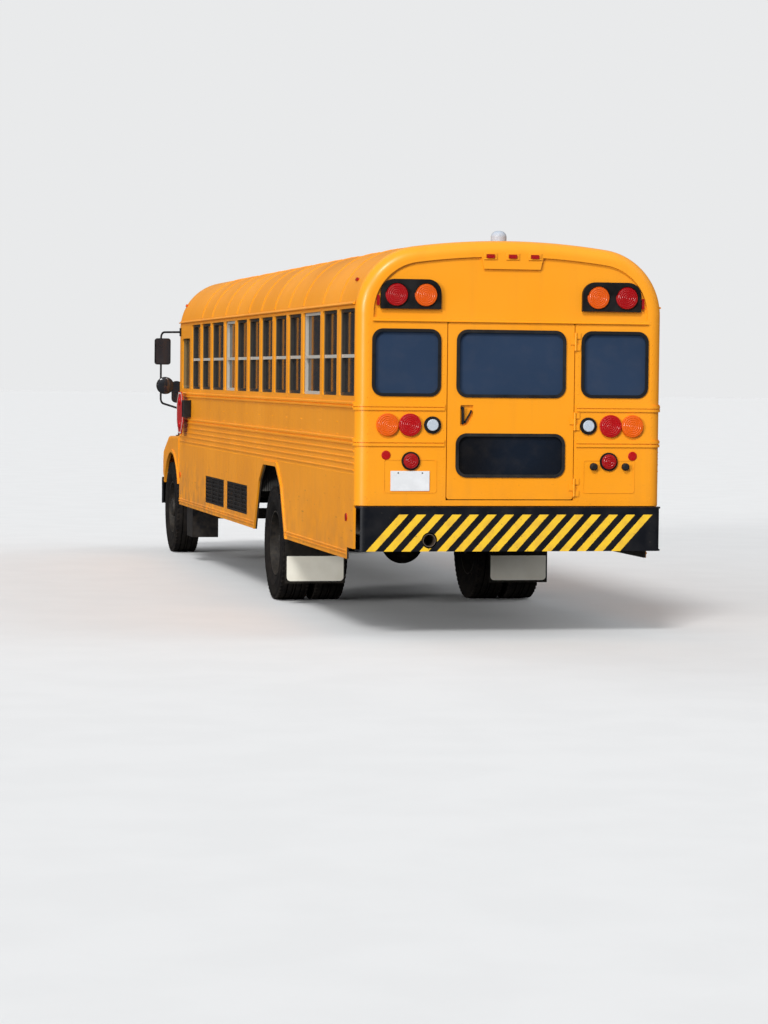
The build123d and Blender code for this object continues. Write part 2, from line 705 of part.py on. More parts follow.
# Window frames: sashes along both sides and rubber round the rear windows
with BuildPart() as window_frames:
    for side in (-1, 1):
        sash_x = HALF - GLASS_RECESS if side > 0 else SASH_T - (HALF - GLASS_RECESS)
        with BuildSketch(Plane.YZ.offset(sash_x)):
            for rear, front in WINDOWS:
                width = rear - front - 2 * FIT_GAP
                height = WINDOW_TOP - WINDOW_LOW - 2 * FIT_GAP
                with Locations(((rear + front) / 2, (WINDOW_LOW + WINDOW_TOP) / 2)):
                    RectangleRounded(width, height, 20 - FIT_GAP)
                    Rectangle(width - 2 * SASH_BORDER, height - 2 * SASH_BORDER, mode=Mode.SUBTRACT)
                with Locations(((rear + front) / 2, SASH_RAIL_Z)):
                    Rectangle(width - SASH_BORDER, SASH_BORDER)
        extrude(amount=-SASH_T)
    with BuildSketch(Plane.XZ.offset(-REAR_Y - FIT_GAP)):
        for side in (-1, 1):
            window_x = side * (REAR_WINDOW_IN + REAR_WINDOW_OUT) / 2
            width = REAR_WINDOW_OUT - REAR_WINDOW_IN
            height = REAR_WINDOW_TOP - REAR_WINDOW_LOW
            with Locations((window_x, (REAR_WINDOW_LOW + REAR_WINDOW_TOP) / 2)):
                RectangleRounded(width + RUBBER_W, height + RUBBER_W, WINDOW_CORNER_R + RUBBER_W / 2)
                RectangleRounded(
                    width - RUBBER_W, height - RUBBER_W, WINDOW_CORNER_R - RUBBER_W / 2, mode=Mode.SUBTRACT
                )
    extrude(amount=-RUBBER_T)
window_frames.part.label = "window_frames"
export_step(window_frames.part, "parts/window_frames.step")

# Glass of the side windows, rear windows and windscreen
with BuildPart() as window_glass:
    for side in (-1, 1):
        glass_x = side * (HALF - GLASS_RECESS - SASH_T - FIT_GAP)
        with BuildSketch(Plane.YZ.offset(glass_x)):
            for rear, front in WINDOWS:
                with Locations(((rear + front) / 2, (WINDOW_LOW + WINDOW_TOP) / 2)):
                    Rectangle(rear - front - 2, WINDOW_TOP - WINDOW_LOW - 40)
            if side > 0:
                cab_middle = (CAB_WINDOW_REAR + CAB_WINDOW_FRONT) / 2
                with Locations((cab_middle, (WINDOW_LOW + CAB_WINDOW_TOP) / 2)):
                    RectangleRounded(
                        CAB_WINDOW_LENGTH - 2 * FIT_GAP,
                        CAB_WINDOW_TOP - WINDOW_LOW - 2 * FIT_GAP,
                        CAB_CORNER_R - FIT_GAP,
                    )
        extrude(amount=-side * GLASS_T)
    with BuildSketch(Plane.XZ.offset(-REAR_Y + 15)):
        for side in (-1, 1):
            window_x = side * (REAR_WINDOW_IN + REAR_WINDOW_OUT) / 2
            with Locations((window_x, (REAR_WINDOW_LOW + REAR_WINDOW_TOP) / 2)):
                RectangleRounded(
                    REAR_WINDOW_OUT - REAR_WINDOW_IN - 2 * FIT_GAP,
                    REAR_WINDOW_TOP - REAR_WINDOW_LOW - 2 * FIT_GAP,
                    WINDOW_CORNER_R - FIT_GAP,
                )
    extrude(amount=GLASS_T)
    with BuildSketch(Plane.XZ.offset(-(FRONT_Y + 12 + GLASS_T))):
        for side in (-1, 1):
            pane_x = side * (WINDSCREEN_HALF + WINDSCREEN_POST) / 2
            with Locations((pane_x, (WINDSCREEN_LOW + WINDSCREEN_TOP) / 2)):
                RectangleRounded(
                    WINDSCREEN_HALF - WINDSCREEN_POST - 2 * FIT_GAP,
                    WINDSCREEN_TOP - WINDSCREEN_LOW - 2 * FIT_GAP,
                    WINDSCREEN_R - FIT_GAP,
                )
    extrude(amount=GLASS_T)
window_glass.part.label = "window_glass"
export_step(window_glass.part, "parts/window_glass.step")

# Floor with cross sills, rear wheel housings and the entry steps
HOUSING_IN = 556
HOUSING_HALF = 640
HOUSING_TOP = 1225
HOUSING_T = 12
FLOOR_HALF = HALF - SKIRT_T - FIT_GAP
FLOOR_FRONT_Y = FRONT_Y + WALL + FIT_GAP
STEP_LOW_Z = 720
STEP_MID_Z = 890
STEP_OUT = -1150
STEP_MID = -900
STEP_IN = -700
STEP_T = 10

with BuildPart() as floor:
    box_between((-FLOOR_HALF, SIDE_FRONT_Y, FLOOR_TOP - FLOOR_T), (FLOOR_HALF, SIDE_REAR_Y, FLOOR_TOP))
    box_between(
        (-INSIDE + FIT_GAP, SIDE_REAR_Y - 1, FLOOR_TOP - FLOOR_T),
        (INSIDE - FIT_GAP, REAR_Y - WALL - FIT_GAP, FLOOR_TOP),
    )
    box_between(
        (-INSIDE + FIT_GAP, FLOOR_FRONT_Y, FLOOR_TOP - FLOOR_T),
        (INSIDE - FIT_GAP, SIDE_FRONT_Y + 1, FLOOR_TOP),
    )
    for sill_y in SILLS:
        box_between(
            (-FLOOR_HALF, sill_y - SILL_W / 2, SILL_LOW), (FLOOR_HALF, sill_y + SILL_W / 2, FLOOR_TOP - 1)
        )
    for side in (-1, 1):
        inner = side * HOUSING_IN
        outer = side * FLOOR_HALF
        low_x, high_x = min(inner, outer), max(inner, outer)
        box_between(
            (low_x, REAR_AXLE_Y - HOUSING_HALF, SILL_LOW), (high_x, REAR_AXLE_Y + HOUSING_HALF, HOUSING_TOP)
        )
        inner = side * (HOUSING_IN + HOUSING_T)
        outer = side * (FLOOR_HALF + 5)
        low_x, high_x = min(inner, outer), max(inner, outer)
        box_between(
            (low_x, REAR_AXLE_Y - HOUSING_HALF + HOUSING_T, SILL_LOW - 1),
            (high_x, REAR_AXLE_Y + HOUSING_HALF - HOUSING_T, HOUSING_TOP - HOUSING_T),
            Mode.SUBTRACT,
        )
    box_between(
        (-FLOOR_HALF - 1, ENTRY_FRONT_Y, SILL_LOW - 1), (STEP_IN, ENTRY_REAR_Y, FLOOR_TOP + 1), Mode.SUBTRACT
    )
    for low_y in (ENTRY_FRONT_Y, ENTRY_REAR_Y - STEP_T):
        box_between((STEP_OUT, low_y, STEP_LOW_Z), (STEP_IN + STEP_T, low_y + STEP_T, FLOOR_TOP))
    box_between((STEP_OUT, ENTRY_FRONT_Y, STEP_LOW_Z), (STEP_MID, ENTRY_REAR_Y, STEP_LOW_Z + STEP_T))
    box_between((STEP_MID - STEP_T, ENTRY_FRONT_Y, STEP_LOW_Z), (STEP_MID, ENTRY_REAR_Y, STEP_MID_Z + STEP_T))
    box_between((STEP_MID, ENTRY_FRONT_Y, STEP_MID_Z), (STEP_IN, ENTRY_REAR_Y, STEP_MID_Z + STEP_T))
    box_between((STEP_IN, ENTRY_FRONT_Y, STEP_MID_Z), (STEP_IN + STEP_T, ENTRY_REAR_Y, FLOOR_TOP))
floor.part.label = "floor"
export_step(floor.part, "parts/floor.step")

# Rear emergency door: panel with two glazed openings and a pocket behind its handle
HANDLE_X = 382
HANDLE_W = 14
HANDLE_LOW = 1652
HANDLE_TOP = 1782
LINK_W = 9
LINK_LOW = (362, 1670)
LINK_TOP = (314, 1754)
LINK_MIDDLE = ((LINK_LOW[0] + LINK_TOP[0]) / 2, (LINK_LOW[1] + LINK_TOP[1]) / 2)
POCKET_IN = 300
POCKET_OUT = 402
POCKET_LOW = 1640
POCKET_TOP = 1800
POCKET_DEPTH = 20
POCKET_FLOOR_Y = REAR_Y - POCKET_DEPTH + FIT_GAP
with BuildPart() as rear_door:
    with BuildSketch(Plane.XZ.offset(-REAR_Y)):
        with Locations((0, (DOOR_LOW + DOOR_TOP) / 2)):
            RectangleRounded(2 * DOOR_HALF, DOOR_TOP - DOOR_LOW, 20)
        for low, top in ((DOOR_GLASS_LOW, DOOR_GLASS_TOP), (LOW_GLASS_LOW, LOW_GLASS_TOP)):
            with Locations((0, (low + top) / 2)):
                RectangleRounded(2 * DOOR_GLASS_HALF, top - low, WINDOW_CORNER_R, mode=Mode.SUBTRACT)
    extrude(amount=WALL)
    with BuildSketch(Plane.XZ.offset(-REAR_Y)) as pocket:
        with BuildLine():
            Polyline(
                (POCKET_OUT - 40, POCKET_LOW),
                (POCKET_OUT, POCKET_LOW),
                (POCKET_OUT, POCKET_TOP),
                (POCKET_IN, POCKET_TOP),
                (POCKET_IN, POCKET_LOW + 95),
            )
            ThreePointArc(
                (POCKET_IN, POCKET_LOW + 95), (POCKET_IN + 22, POCKET_LOW + 35), (POCKET_OUT - 40, POCKET_LOW)
            )
        make_face()
        fillet(pocket.vertices().filter_by(lambda v: v.X > POCKET_OUT - 1 or v.Z > POCKET_TOP - 1), 10)
    extrude(amount=POCKET_DEPTH, mode=Mode.SUBTRACT)
    for z in REAR_HINGES:
        box_between(
            (DOOR_AXIS_X + DOOR_GAP, REAR_Y - 2, z - HINGE_H / 2),
            (DOOR_AXIS_X + HINGE_PLATE, REAR_Y + 5, z + HINGE_H / 2),
        )
        plate = (DOOR_AXIS_X, REAR_Y + 2), (DOOR_AXIS_X + HINGE_PLATE, REAR_Y + HINGE_OUT - 3)
        add(hinge_leaf(DOOR_AXIS_X, REAR_Y + HINGE_OUT, z - HINGE_H / 2, z + HINGE_H / 2, *plate))
rear_door.part.label = "rear_door"
export_step(rear_door.part, "parts/rear_door.step")

with BuildPart() as rear_door_glass:
    with BuildSketch(Plane.XZ.offset(-REAR_Y + 15)):
        for low, top in ((DOOR_GLASS_LOW, DOOR_GLASS_TOP), (LOW_GLASS_LOW, LOW_GLASS_TOP)):
            with Locations((0, (low + top) / 2)):
                RectangleRounded(
                    2 * (DOOR_GLASS_HALF - FIT_GAP), top - low - 2 * FIT_GAP, WINDOW_CORNER_R - FIT_GAP
                )
    extrude(amount=GLASS_T)
rear_door_glass.part.label = "rear_door_glass"
export_step(rear_door_glass.part, "parts/rear_door_glass.step")

# Rubber round the door's glass, its hinges and its handle
with BuildPart() as rear_door_trim:
    with BuildSketch(Plane.XZ.offset(-REAR_Y - FIT_GAP)):
        for low, top in ((DOOR_GLASS_LOW, DOOR_GLASS_TOP), (LOW_GLASS_LOW, LOW_GLASS_TOP)):
            with Locations((0, (low + top) / 2)):
                RectangleRounded(
                    2 * DOOR_GLASS_HALF + RUBBER_W, top - low + RUBBER_W, WINDOW_CORNER_R + RUBBER_W / 2
                )
                RectangleRounded(
                    2 * DOOR_GLASS_HALF - RUBBER_W,
                    top - low - RUBBER_W,
                    WINDOW_CORNER_R - RUBBER_W / 2,
                    mode=Mode.SUBTRACT,
                )
    extrude(amount=-RUBBER_T)
    with BuildSketch(Plane.XZ.offset(-POCKET_FLOOR_Y)):
        with Locations((HANDLE_X, (HANDLE_LOW + HANDLE_TOP) / 2)):
            RectangleRounded(HANDLE_W, HANDLE_TOP - HANDLE_LOW, HANDLE_W / 2 - 1)
    extrude(amount=-POCKET_DEPTH - 10)
    with BuildSketch(Plane.XZ.offset(-POCKET_FLOOR_Y)):
        SlotCenterPoint(LINK_MIDDLE, LINK_TOP, LINK_W)
    extrude(amount=-POCKET_DEPTH)
rear_door_trim.part.label = "rear_door_trim"
export_step(rear_door_trim.part, "parts/rear_door_trim.step")

# Entrance door: two glazed leaves that meet in the middle
LEAF_GAP = 6
LEAF_MEETING = 13
LEAF_LENGTH = (ENTRY_LENGTH - LEAF_MEETING) / 2 - LEAF_GAP
LEAF_LOW = ENTRY_LOW + LEAF_GAP
LEAF_TOP = ENTRY_TOP - LEAF_GAP
LEAF_BORDER = 55
LEAF_MIDDLE = 1500
for name, axis_y, inward in (("front", ENTRY_FRONT_Y, 1), ("rear", ENTRY_REAR_Y, -1)):
    middle_y = axis_y + inward * (LEAF_GAP + LEAF_LENGTH / 2)
    with BuildPart() as entry_leaf:
        with BuildSketch(Plane.YZ.offset(-HALF)):
            with Locations((middle_y, (LEAF_LOW + LEAF_TOP) / 2)):
                Rectangle(LEAF_LENGTH, LEAF_TOP - LEAF_LOW)
            for low, top in ((LEAF_LOW + 110, LEAF_MIDDLE - 30), (LEAF_MIDDLE + 30, LEAF_TOP - LEAF_BORDER)):
                with Locations((middle_y, (low + top) / 2)):
                    RectangleRounded(LEAF_LENGTH - 2 * LEAF_BORDER, top - low, 30, mode=Mode.SUBTRACT)
        extrude(amount=LEAF_T)
        for z in ENTRY_HINGES:
            low_y = min(axis_y + inward * LEAF_GAP, axis_y + inward * (HINGE_PLATE - LEAF_GAP))
            box_between(
                (-HALF - 5, low_y, z - HINGE_H / 2),
                (-HALF + 2, low_y + HINGE_PLATE - 2 * LEAF_GAP, z + HINGE_H / 2),
            )
            low_y = min(axis_y, axis_y + inward * HINGE_PLATE)
            plate = (-HALF - HINGE_OUT + 3, low_y), (-HALF - 2, low_y + HINGE_PLATE)
            add(hinge_leaf(-HALF - HINGE_OUT, axis_y, z - HINGE_H / 2, z + HINGE_H / 2, *plate))
    entry_leaf.part.label = f"entry_leaf_{name}"
    export_step(entry_leaf.part, f"parts/entry_leaf_{name}.step")
    with BuildPart() as entry_glass:
        with BuildSketch(Plane.YZ.offset(-HALF + 14)):
            for low, top in ((LEAF_LOW + 110, LEAF_MIDDLE - 30), (LEAF_MIDDLE + 30, LEAF_TOP - LEAF_BORDER)):
                with Locations((middle_y, (low + top) / 2)):
                    RectangleRounded(
                        LEAF_LENGTH - 2 * LEAF_BORDER - 2 * FIT_GAP, top - low - 2 * FIT_GAP, 30 - FIT_GAP
                    )
        extrude(amount=GLASS_T)
    entry_glass.part.label = f"entry_glass_{name}"
    export_step(entry_glass.part, f"parts/entry_glass_{name}.step")

# Bumpers
TAILPIPE_X = 650
TAILPIPE_Z = 757
TAILPIPE_R = 50
TAILPIPE_END = TAIL_Y - 6
TAILPIPE_BORE = 300
with BuildPart() as bumpers:
    with BuildSketch(Plane.XY.offset(BUMPER_LOW)) as bumper_plan:
        with Locations((0, TAIL_Y - BUMPER_T / 2)):
            Rectangle(2 * BUMPER_HALF, BUMPER_T)
        fillet(bumper_plan.vertices().group_by(Axis.Y)[-1], BUMPER_CORNER_R)
    extrude(amount=BUMPER_TOP - BUMPER_LOW)
    box_between(
        (-HALF, TAIL_Y - BUMPER_T - 1, BUMPER_LOW + BUMPER_FLANGE),
        (HALF, TAIL_Y - BUMPER_PLATE, BUMPER_TOP - BUMPER_FLANGE),
        Mode.SUBTRACT,
    )
    with BuildSketch(Plane.XZ.offset(-TAIL_Y - 1)):
        with Locations((TAILPIPE_X, TAILPIPE_Z)):
            Circle(TAILPIPE_R + 12)
    extrude(amount=40, mode=Mode.SUBTRACT)
    with BuildSketch(Plane.XY.offset(NOSE_BUMPER_LOW)) as bumper_plan:
        with Locations((0, NOSE_Y + NOSE_BUMPER_T / 2)):
            Rectangle(2 * NOSE_BUMPER_HALF, NOSE_BUMPER_T)
        fillet(bumper_plan.vertices().group_by(Axis.Y)[0], BUMPER_CORNER_R)
    extrude(amount=NOSE_BUMPER_TOP - NOSE_BUMPER_LOW)
    box_between(
        (-NOSE_BUMPER_HALF + 20, NOSE_Y + BUMPER_PLATE, NOSE_BUMPER_LOW + BUMPER_FLANGE),
        (NOSE_BUMPER_HALF - 20, NOSE_Y + NOSE_BUMPER_T + 1, NOSE_BUMPER_TOP - BUMPER_FLANGE),
        Mode.SUBTRACT,
    )
bumpers.part.label = "bumpers"
export_step(bumpers.part, "parts/bumpers.step")

# Housings: domed pods over the rear and front windows, bezels of the small rear lamps, and
# the stop arm's box
POD_IN = 564
POD_OUT = 1038
POD_LOW = 2537
POD_TOP = 2764
POD_R = 105
POD_PROUD = 34
CAP_FACE_Y = REAR_Y - RECESS
POD_FACE_Y = CAP_FACE_Y + FIT_GAP + POD_PROUD
NOSE_POD_FACE_Y = FRONT_Y - FIT_GAP - POD_PROUD
BEZEL_PROUD = 14


def pod_outline():
    """Flat-bottomed pods with rounded tops, left and right."""
    with BuildSketch() as outline:
        for side in (-1, 1):
            with Locations((side * (POD_IN + POD_OUT) / 2, (POD_LOW + POD_TOP) / 2)):
                Rectangle(POD_OUT - POD_IN, POD_TOP - POD_LOW)
        fillet(outline.vertices().group_by(Axis.Y)[-1], POD_R)
    return outline.sketch


with BuildPart() as lamp_housings:
    with BuildSketch(Plane.XZ.offset(-POD_FACE_Y)):
        add(pod_outline())
    extrude(amount=POD_PROUD)
    with BuildSketch(Plane.XZ.offset(-(FRONT_Y - FIT_GAP))):
        add(pod_outline())
    extrude(amount=POD_PROUD)
    with BuildSketch(Plane.XZ.offset(-(REAR_Y + FIT_GAP + BEZEL_PROUD))):
        for side in (-1, 1):
            with Locations((side * BACKUP_X, TAIL_LAMP_Z)):
                Circle(BACKUP_R + BEZEL_W + 8)
            with Locations((side * LOW_LAMP_X, LOW_LAMP_Z)):
                Circle(LOW_LAMP_R + BEZEL_W)
    extrude(amount=BEZEL_PROUD)
    with BuildSketch(Plane.XY.offset(ARM_BOX_LOW)):
        with Locations((HALF + 45, STOP_Y + 75)):
            RectangleRounded(90 - 2 * FIT_GAP, 100, 12)
    extrude(amount=ARM_BOX_H)
    for low in (ARM_BOX_LOW, ARM_BOX_LOW + ARM_BOX_H - ARM_LUG):
        box_between((HALF + 45, STOP_Y - 14, low), (HALF + 80, STOP_Y + 30, low + ARM_LUG))
lamp_housings.part.label = "lamp_housings"
export_step(lamp_housings.part, "parts/lamp_housings.step")

# Lenses. Lamp columns: x, z, lens radius, how far it stands out, where its back sits, which way it faces
REAR_BACK = REAR_Y + FIT_GAP
POD_BACK = POD_FACE_Y + FIT_GAP
NOSE_POD_BACK = NOSE_POD_FACE_Y - FIT_GAP
BEZEL_BACK = REAR_Y + 2 * FIT_GAP + BEZEL_PROUD
RED_LAMPS = (
    (TAIL_RED_X, TAIL_LAMP_Z, TAIL_LAMP_R, 26, REAR_BACK, 1),
    (LOW_LAMP_X, LOW_LAMP_Z, LOW_LAMP_R, 16, BEZEL_BACK, 1),
    (REFLECTOR_X, REFLECTOR_Z, REFLECTOR_R, 8, REAR_BACK, 1),
    (WARN_RED_X, WARN_Z, WARN_R, 18, POD_BACK, 1),
    (WARN_RED_X, WARN_Z, WARN_R, 18, NOSE_POD_BACK, -1),
)
NOSE_BACK = FRONT_Y - FIT_GAP
AMBER_LAMPS = (
    (TAIL_AMBER_X, TAIL_LAMP_Z, TAIL_LAMP_R, 26, REAR_BACK, 1),
    (WARN_AMBER_X, WARN_Z, WARN_R, 18, POD_BACK, 1),
    (WARN_AMBER_X, WARN_Z, WARN_R, 18, NOSE_POD_BACK, -1),
    (MARK_PITCH, NOSE_MARK_Z, NOSE_MARK_R, 14, NOSE_BACK, -1),
    (0, NOSE_MARK_Z, NOSE_MARK_R, 14, NOSE_BACK, -1),
)
CLEAR_LAMPS = ((BACKUP_X, TAIL_LAMP_Z, BACKUP_R, 14, BEZEL_BACK, 1),)

# Strobe dome on the roof
STROBE_BACK = 450
STROBE_R = 62
STROBE_H = 95


def side_lamps(roof_y, mark_y):
    """Blocks on the rounded edges of the roof and round reflectors low on the skirts."""
    rise = ROOF_LAMP_Z - CORNER_Z
    run = sqrt(ROOF_CORNER_R**2 - rise**2)
    reach = 1 + FIT_GAP / ROOF_CORNER_R
    with BuildPart() as lamps:
        for side in (-1, 1):
            spot = (side * (CORNER_X + run * reach), roof_y, CORNER_Z + rise * reach)
            plane = Plane(spot, x_dir=(0, 1, 0), z_dir=(side * run, 0, rise))
            with BuildSketch(plane):
                RectangleRounded(ROOF_LAMP_L, ROOF_LAMP_W, 8)
            extrude(amount=16)
            with BuildSketch(Plane.YZ.offset(side * (HALF + FIT_GAP))):
                with Locations((mark_y, SIDE_MARK_Z)):
                    Circle(SIDE_MARK_R)
            extrude(amount=side * 8)
    return lamps.part


for name, lamps in (("red", RED_LAMPS), ("amber", AMBER_LAMPS), ("clear", CLEAR_LAMPS)):
    with BuildPart() as lenses:
        for x, z, radius, proud, back, facing in lamps:
            with BuildSketch(Plane.XZ.offset(-back)):
                with Locations((-x, z), (x, z)):
                    Circle(radius)
            extrude(amount=-facing * proud)
        rims = lenses.edges().filter_by(GeomType.CIRCLE)
        fronts = [
            edge
            for edge in rims
            for x, z, radius, proud, back, facing in lamps
            if abs(edge.center().Y - back - facing * proud) < 0.01 and abs(edge.radius - radius) < 0.01
        ]
        chamfer(ShapeList(fronts), 5)
        if name == "red":
            add(side_lamps(REAR_Y - ROOF_LAMP_BACK, REAR_Y - SIDE_MARK_BACK))
            with BuildSketch(Plane.XZ.offset(-REAR_BACK)):
                with Locations((-MARK_PITCH, MARK_Z), (0, MARK_Z), (MARK_PITCH, MARK_Z)):
                    RectangleRounded(MARK_W, MARK_H, 9)
            extrude(amount=-18)
            with BuildSketch(Plane.XZ.offset(-(CAP_FACE_Y + FIT_GAP))):
                with Locations((-CLEARANCE_X, CLEARANCE_Z), (CLEARANCE_X, CLEARANCE_Z)):
                    RectangleRounded(CLEARANCE_W, CLEARANCE_H, 6)
            extrude(amount=-20)
        if name == "amber":
            add(side_lamps(FRONT_Y + ROOF_LAMP_FRONT, SIDE_FRONT_Y + SIDE_MARK_FRONT))
        if name == "clear":
            with BuildSketch(Plane.XY.offset(ROOF_TOP + FIT_GAP)):
                with Locations((0, REAR_Y - STROBE_BACK)):
                    Circle(STROBE_R)
            extrude(amount=STROBE_H)
            fillet(lenses.edges().filter_by(GeomType.CIRCLE).sort_by(Axis.Z)[-1], STROBE_R * 0.8)
    lenses.part.label = f"{name}_lenses"
    export_step(lenses.part, f"parts/{name}_lenses.step")

# Mirrors: a hooked arm on each side with a flat head and a round convex head
ARM_R = 11
ARM_FOOT = 14
ARM_TOP_Z = 2476
ARM_BEND_Z = 1700
ARM_LOW_Z = 1640
HEAD_X = 1380
HEAD_Z = 2265
HEAD_W = 172
HEAD_H = 290
HEAD_T = 60
ROUND_Z = 1890
ROUND_R = 95
ROUND_T = 50
MIRROR_Y = FRONT_Y - 150
ARM_Y = SIDE_FRONT_Y + 50
with BuildPart() as mirrors:
    for side in (-1, 1):
        with BuildLine():
            FilletPolyline(
                (side * (HALF + ARM_FOOT), ARM_Y, ARM_TOP_Z),
                (side * (HEAD_X + 20), MIRROR_Y + 60, ARM_TOP_Z),
                (side * (HEAD_X + 20), MIRROR_Y + 60, ARM_BEND_Z),
                (side * (HALF + ARM_FOOT), ARM_Y, ARM_LOW_Z),
                radius=60,
            )
        with BuildSketch(Plane((side * (HALF + ARM_FOOT), ARM_Y, ARM_TOP_Z), z_dir=(side, -1, 0))):
            Circle(ARM_R)
        sweep()
        for foot_z in (ARM_TOP_Z, ARM_LOW_Z):
            foot = side * (HALF + FIT_GAP + ARM_FOOT)
            low_x = min(side * (HALF + FIT_GAP), foot)
            box_between(
                (low_x, ARM_Y - 25, foot_z - 45), (low_x + ARM_FOOT, ARM_Y + 25, foot_z + 45)
            )
        with BuildSketch(Plane.XZ.offset(-(MIRROR_Y + 70))):
            with Locations((side * HEAD_X, HEAD_Z)):
                RectangleRounded(HEAD_W, HEAD_H, 30)
        extrude(amount=HEAD_T)
        with BuildSketch(Plane.XZ.offset(-(MIRROR_Y + 70))):
            with Locations((side * (HEAD_X - 30), ROUND_Z)):
                Circle(ROUND_R)
        extrude(amount=ROUND_T)
mirrors.part.label = "mirrors"
export_step(mirrors.part, "parts/mirrors.step")

# Stop arm: octagonal blade that swings out
STOP_HINGE_X = HALF + 58
BLADE_T = 12
with BuildPart() as stop_arm_blade:
    with BuildSketch(Plane.YZ.offset(STOP_HINGE_X)):
        with Locations((STOP_Y - 45 - STOP_SIGN_W / 2, STOP_ARM_Z)):
            RegularPolygon(STOP_SIGN_W / 2, 8, major_radius=False, rotation=22.5)
        with Locations((STOP_Y - 35, ARM_BOX_LOW + ARM_BOX_H / 2)):
            Rectangle(70, ARM_BOX_H - 2 * ARM_LUG - 2 * FIT_GAP)
    extrude(amount=BLADE_T)
    with BuildSketch(Plane.XY.offset(ARM_BOX_LOW + ARM_LUG + FIT_GAP)):
        with Locations((STOP_HINGE_X + BLADE_T / 2, STOP_Y)):
            Circle(12)
    extrude(amount=ARM_BOX_H - 2 * ARM_LUG - 2 * FIT_GAP)
stop_arm_blade.part.label = "stop_arm_blade"
export_step(stop_arm_blade.part, "parts/stop_arm_blade.step")

# Hood: tapered middle with fenders, open below and behind, on two pivot pins at its nose
PIVOT_Y = HOOD_NOSE_Y + HOOD_PIVOT_BACK
PIN_R = 12
LUG_R = 16
LUG_T = 18
BRACKET_OUT = RAIL_X + RAIL_W / 2 - 1
BRACKET_IN = BRACKET_OUT - 28
LUG_IN = RAIL_X + RAIL_W / 2 + 6
HOOD_BACK_TOP = 1600
HOOD_NOSE_TOP = 1440
HOOD_BACK_HALF = 900
HOOD_NOSE_HALF = 700
HOOD_LOW = 890
FENDER_HALF = 1150
FENDER_TOP = 1330
FENDER_NOSE_Z = 1080
FENDER_LOW = 740
FENDER_DROP = 20
FENDER_SHOULDER = 300
FENDER_EDGE_R = 38
FENDER_LIP_W = 34
FENDER_LIP_PROUD = 10
HEADLAMP_X = 850
HEADLAMP_Z = 1000
HEADLAMP_W = 380
HEADLAMP_H = 170
HEADLAMP_R = 30
GRILLE_HALF = 520
GRILLE_LOW = HOOD_LOW + 40
GRILLE_TOP = HOOD_NOSE_TOP - 130


def hood_section(half, top, low):
    """Front view of the hood's middle: upright sides under a rounded top."""
    with BuildSketch() as section:
        with Locations((0, (low + top) / 2)):
            Rectangle(2 * half, top - low)
        fillet(section.vertices().group_by(Axis.Y)[-1], 130)
    return section.sketch


def fender_outline(inset):
    """Side view of a fender, seen along X."""
    with BuildSketch() as outline:
        with BuildLine():
            Polyline(
                (HOOD_REAR_Y, FENDER_LOW - 2 * inset),
                (HOOD_REAR_Y, FENDER_TOP - inset),
                (FRONT_AXLE_Y - FENDER_SHOULDER, FENDER_TOP - FENDER_DROP - inset),
                (HOOD_NOSE_Y + 30 + inset, FENDER_NOSE_Z + 60),
                (HOOD_NOSE_Y + inset, FENDER_NOSE_Z - 60),
                (HOOD_NOSE_Y + inset, HOOD_LOW - 2 * inset),
                (HOOD_NOSE_Y + 250, FENDER_LOW - 2 * inset),
                close=True,
            )
        make_face()
    return outline.sketch


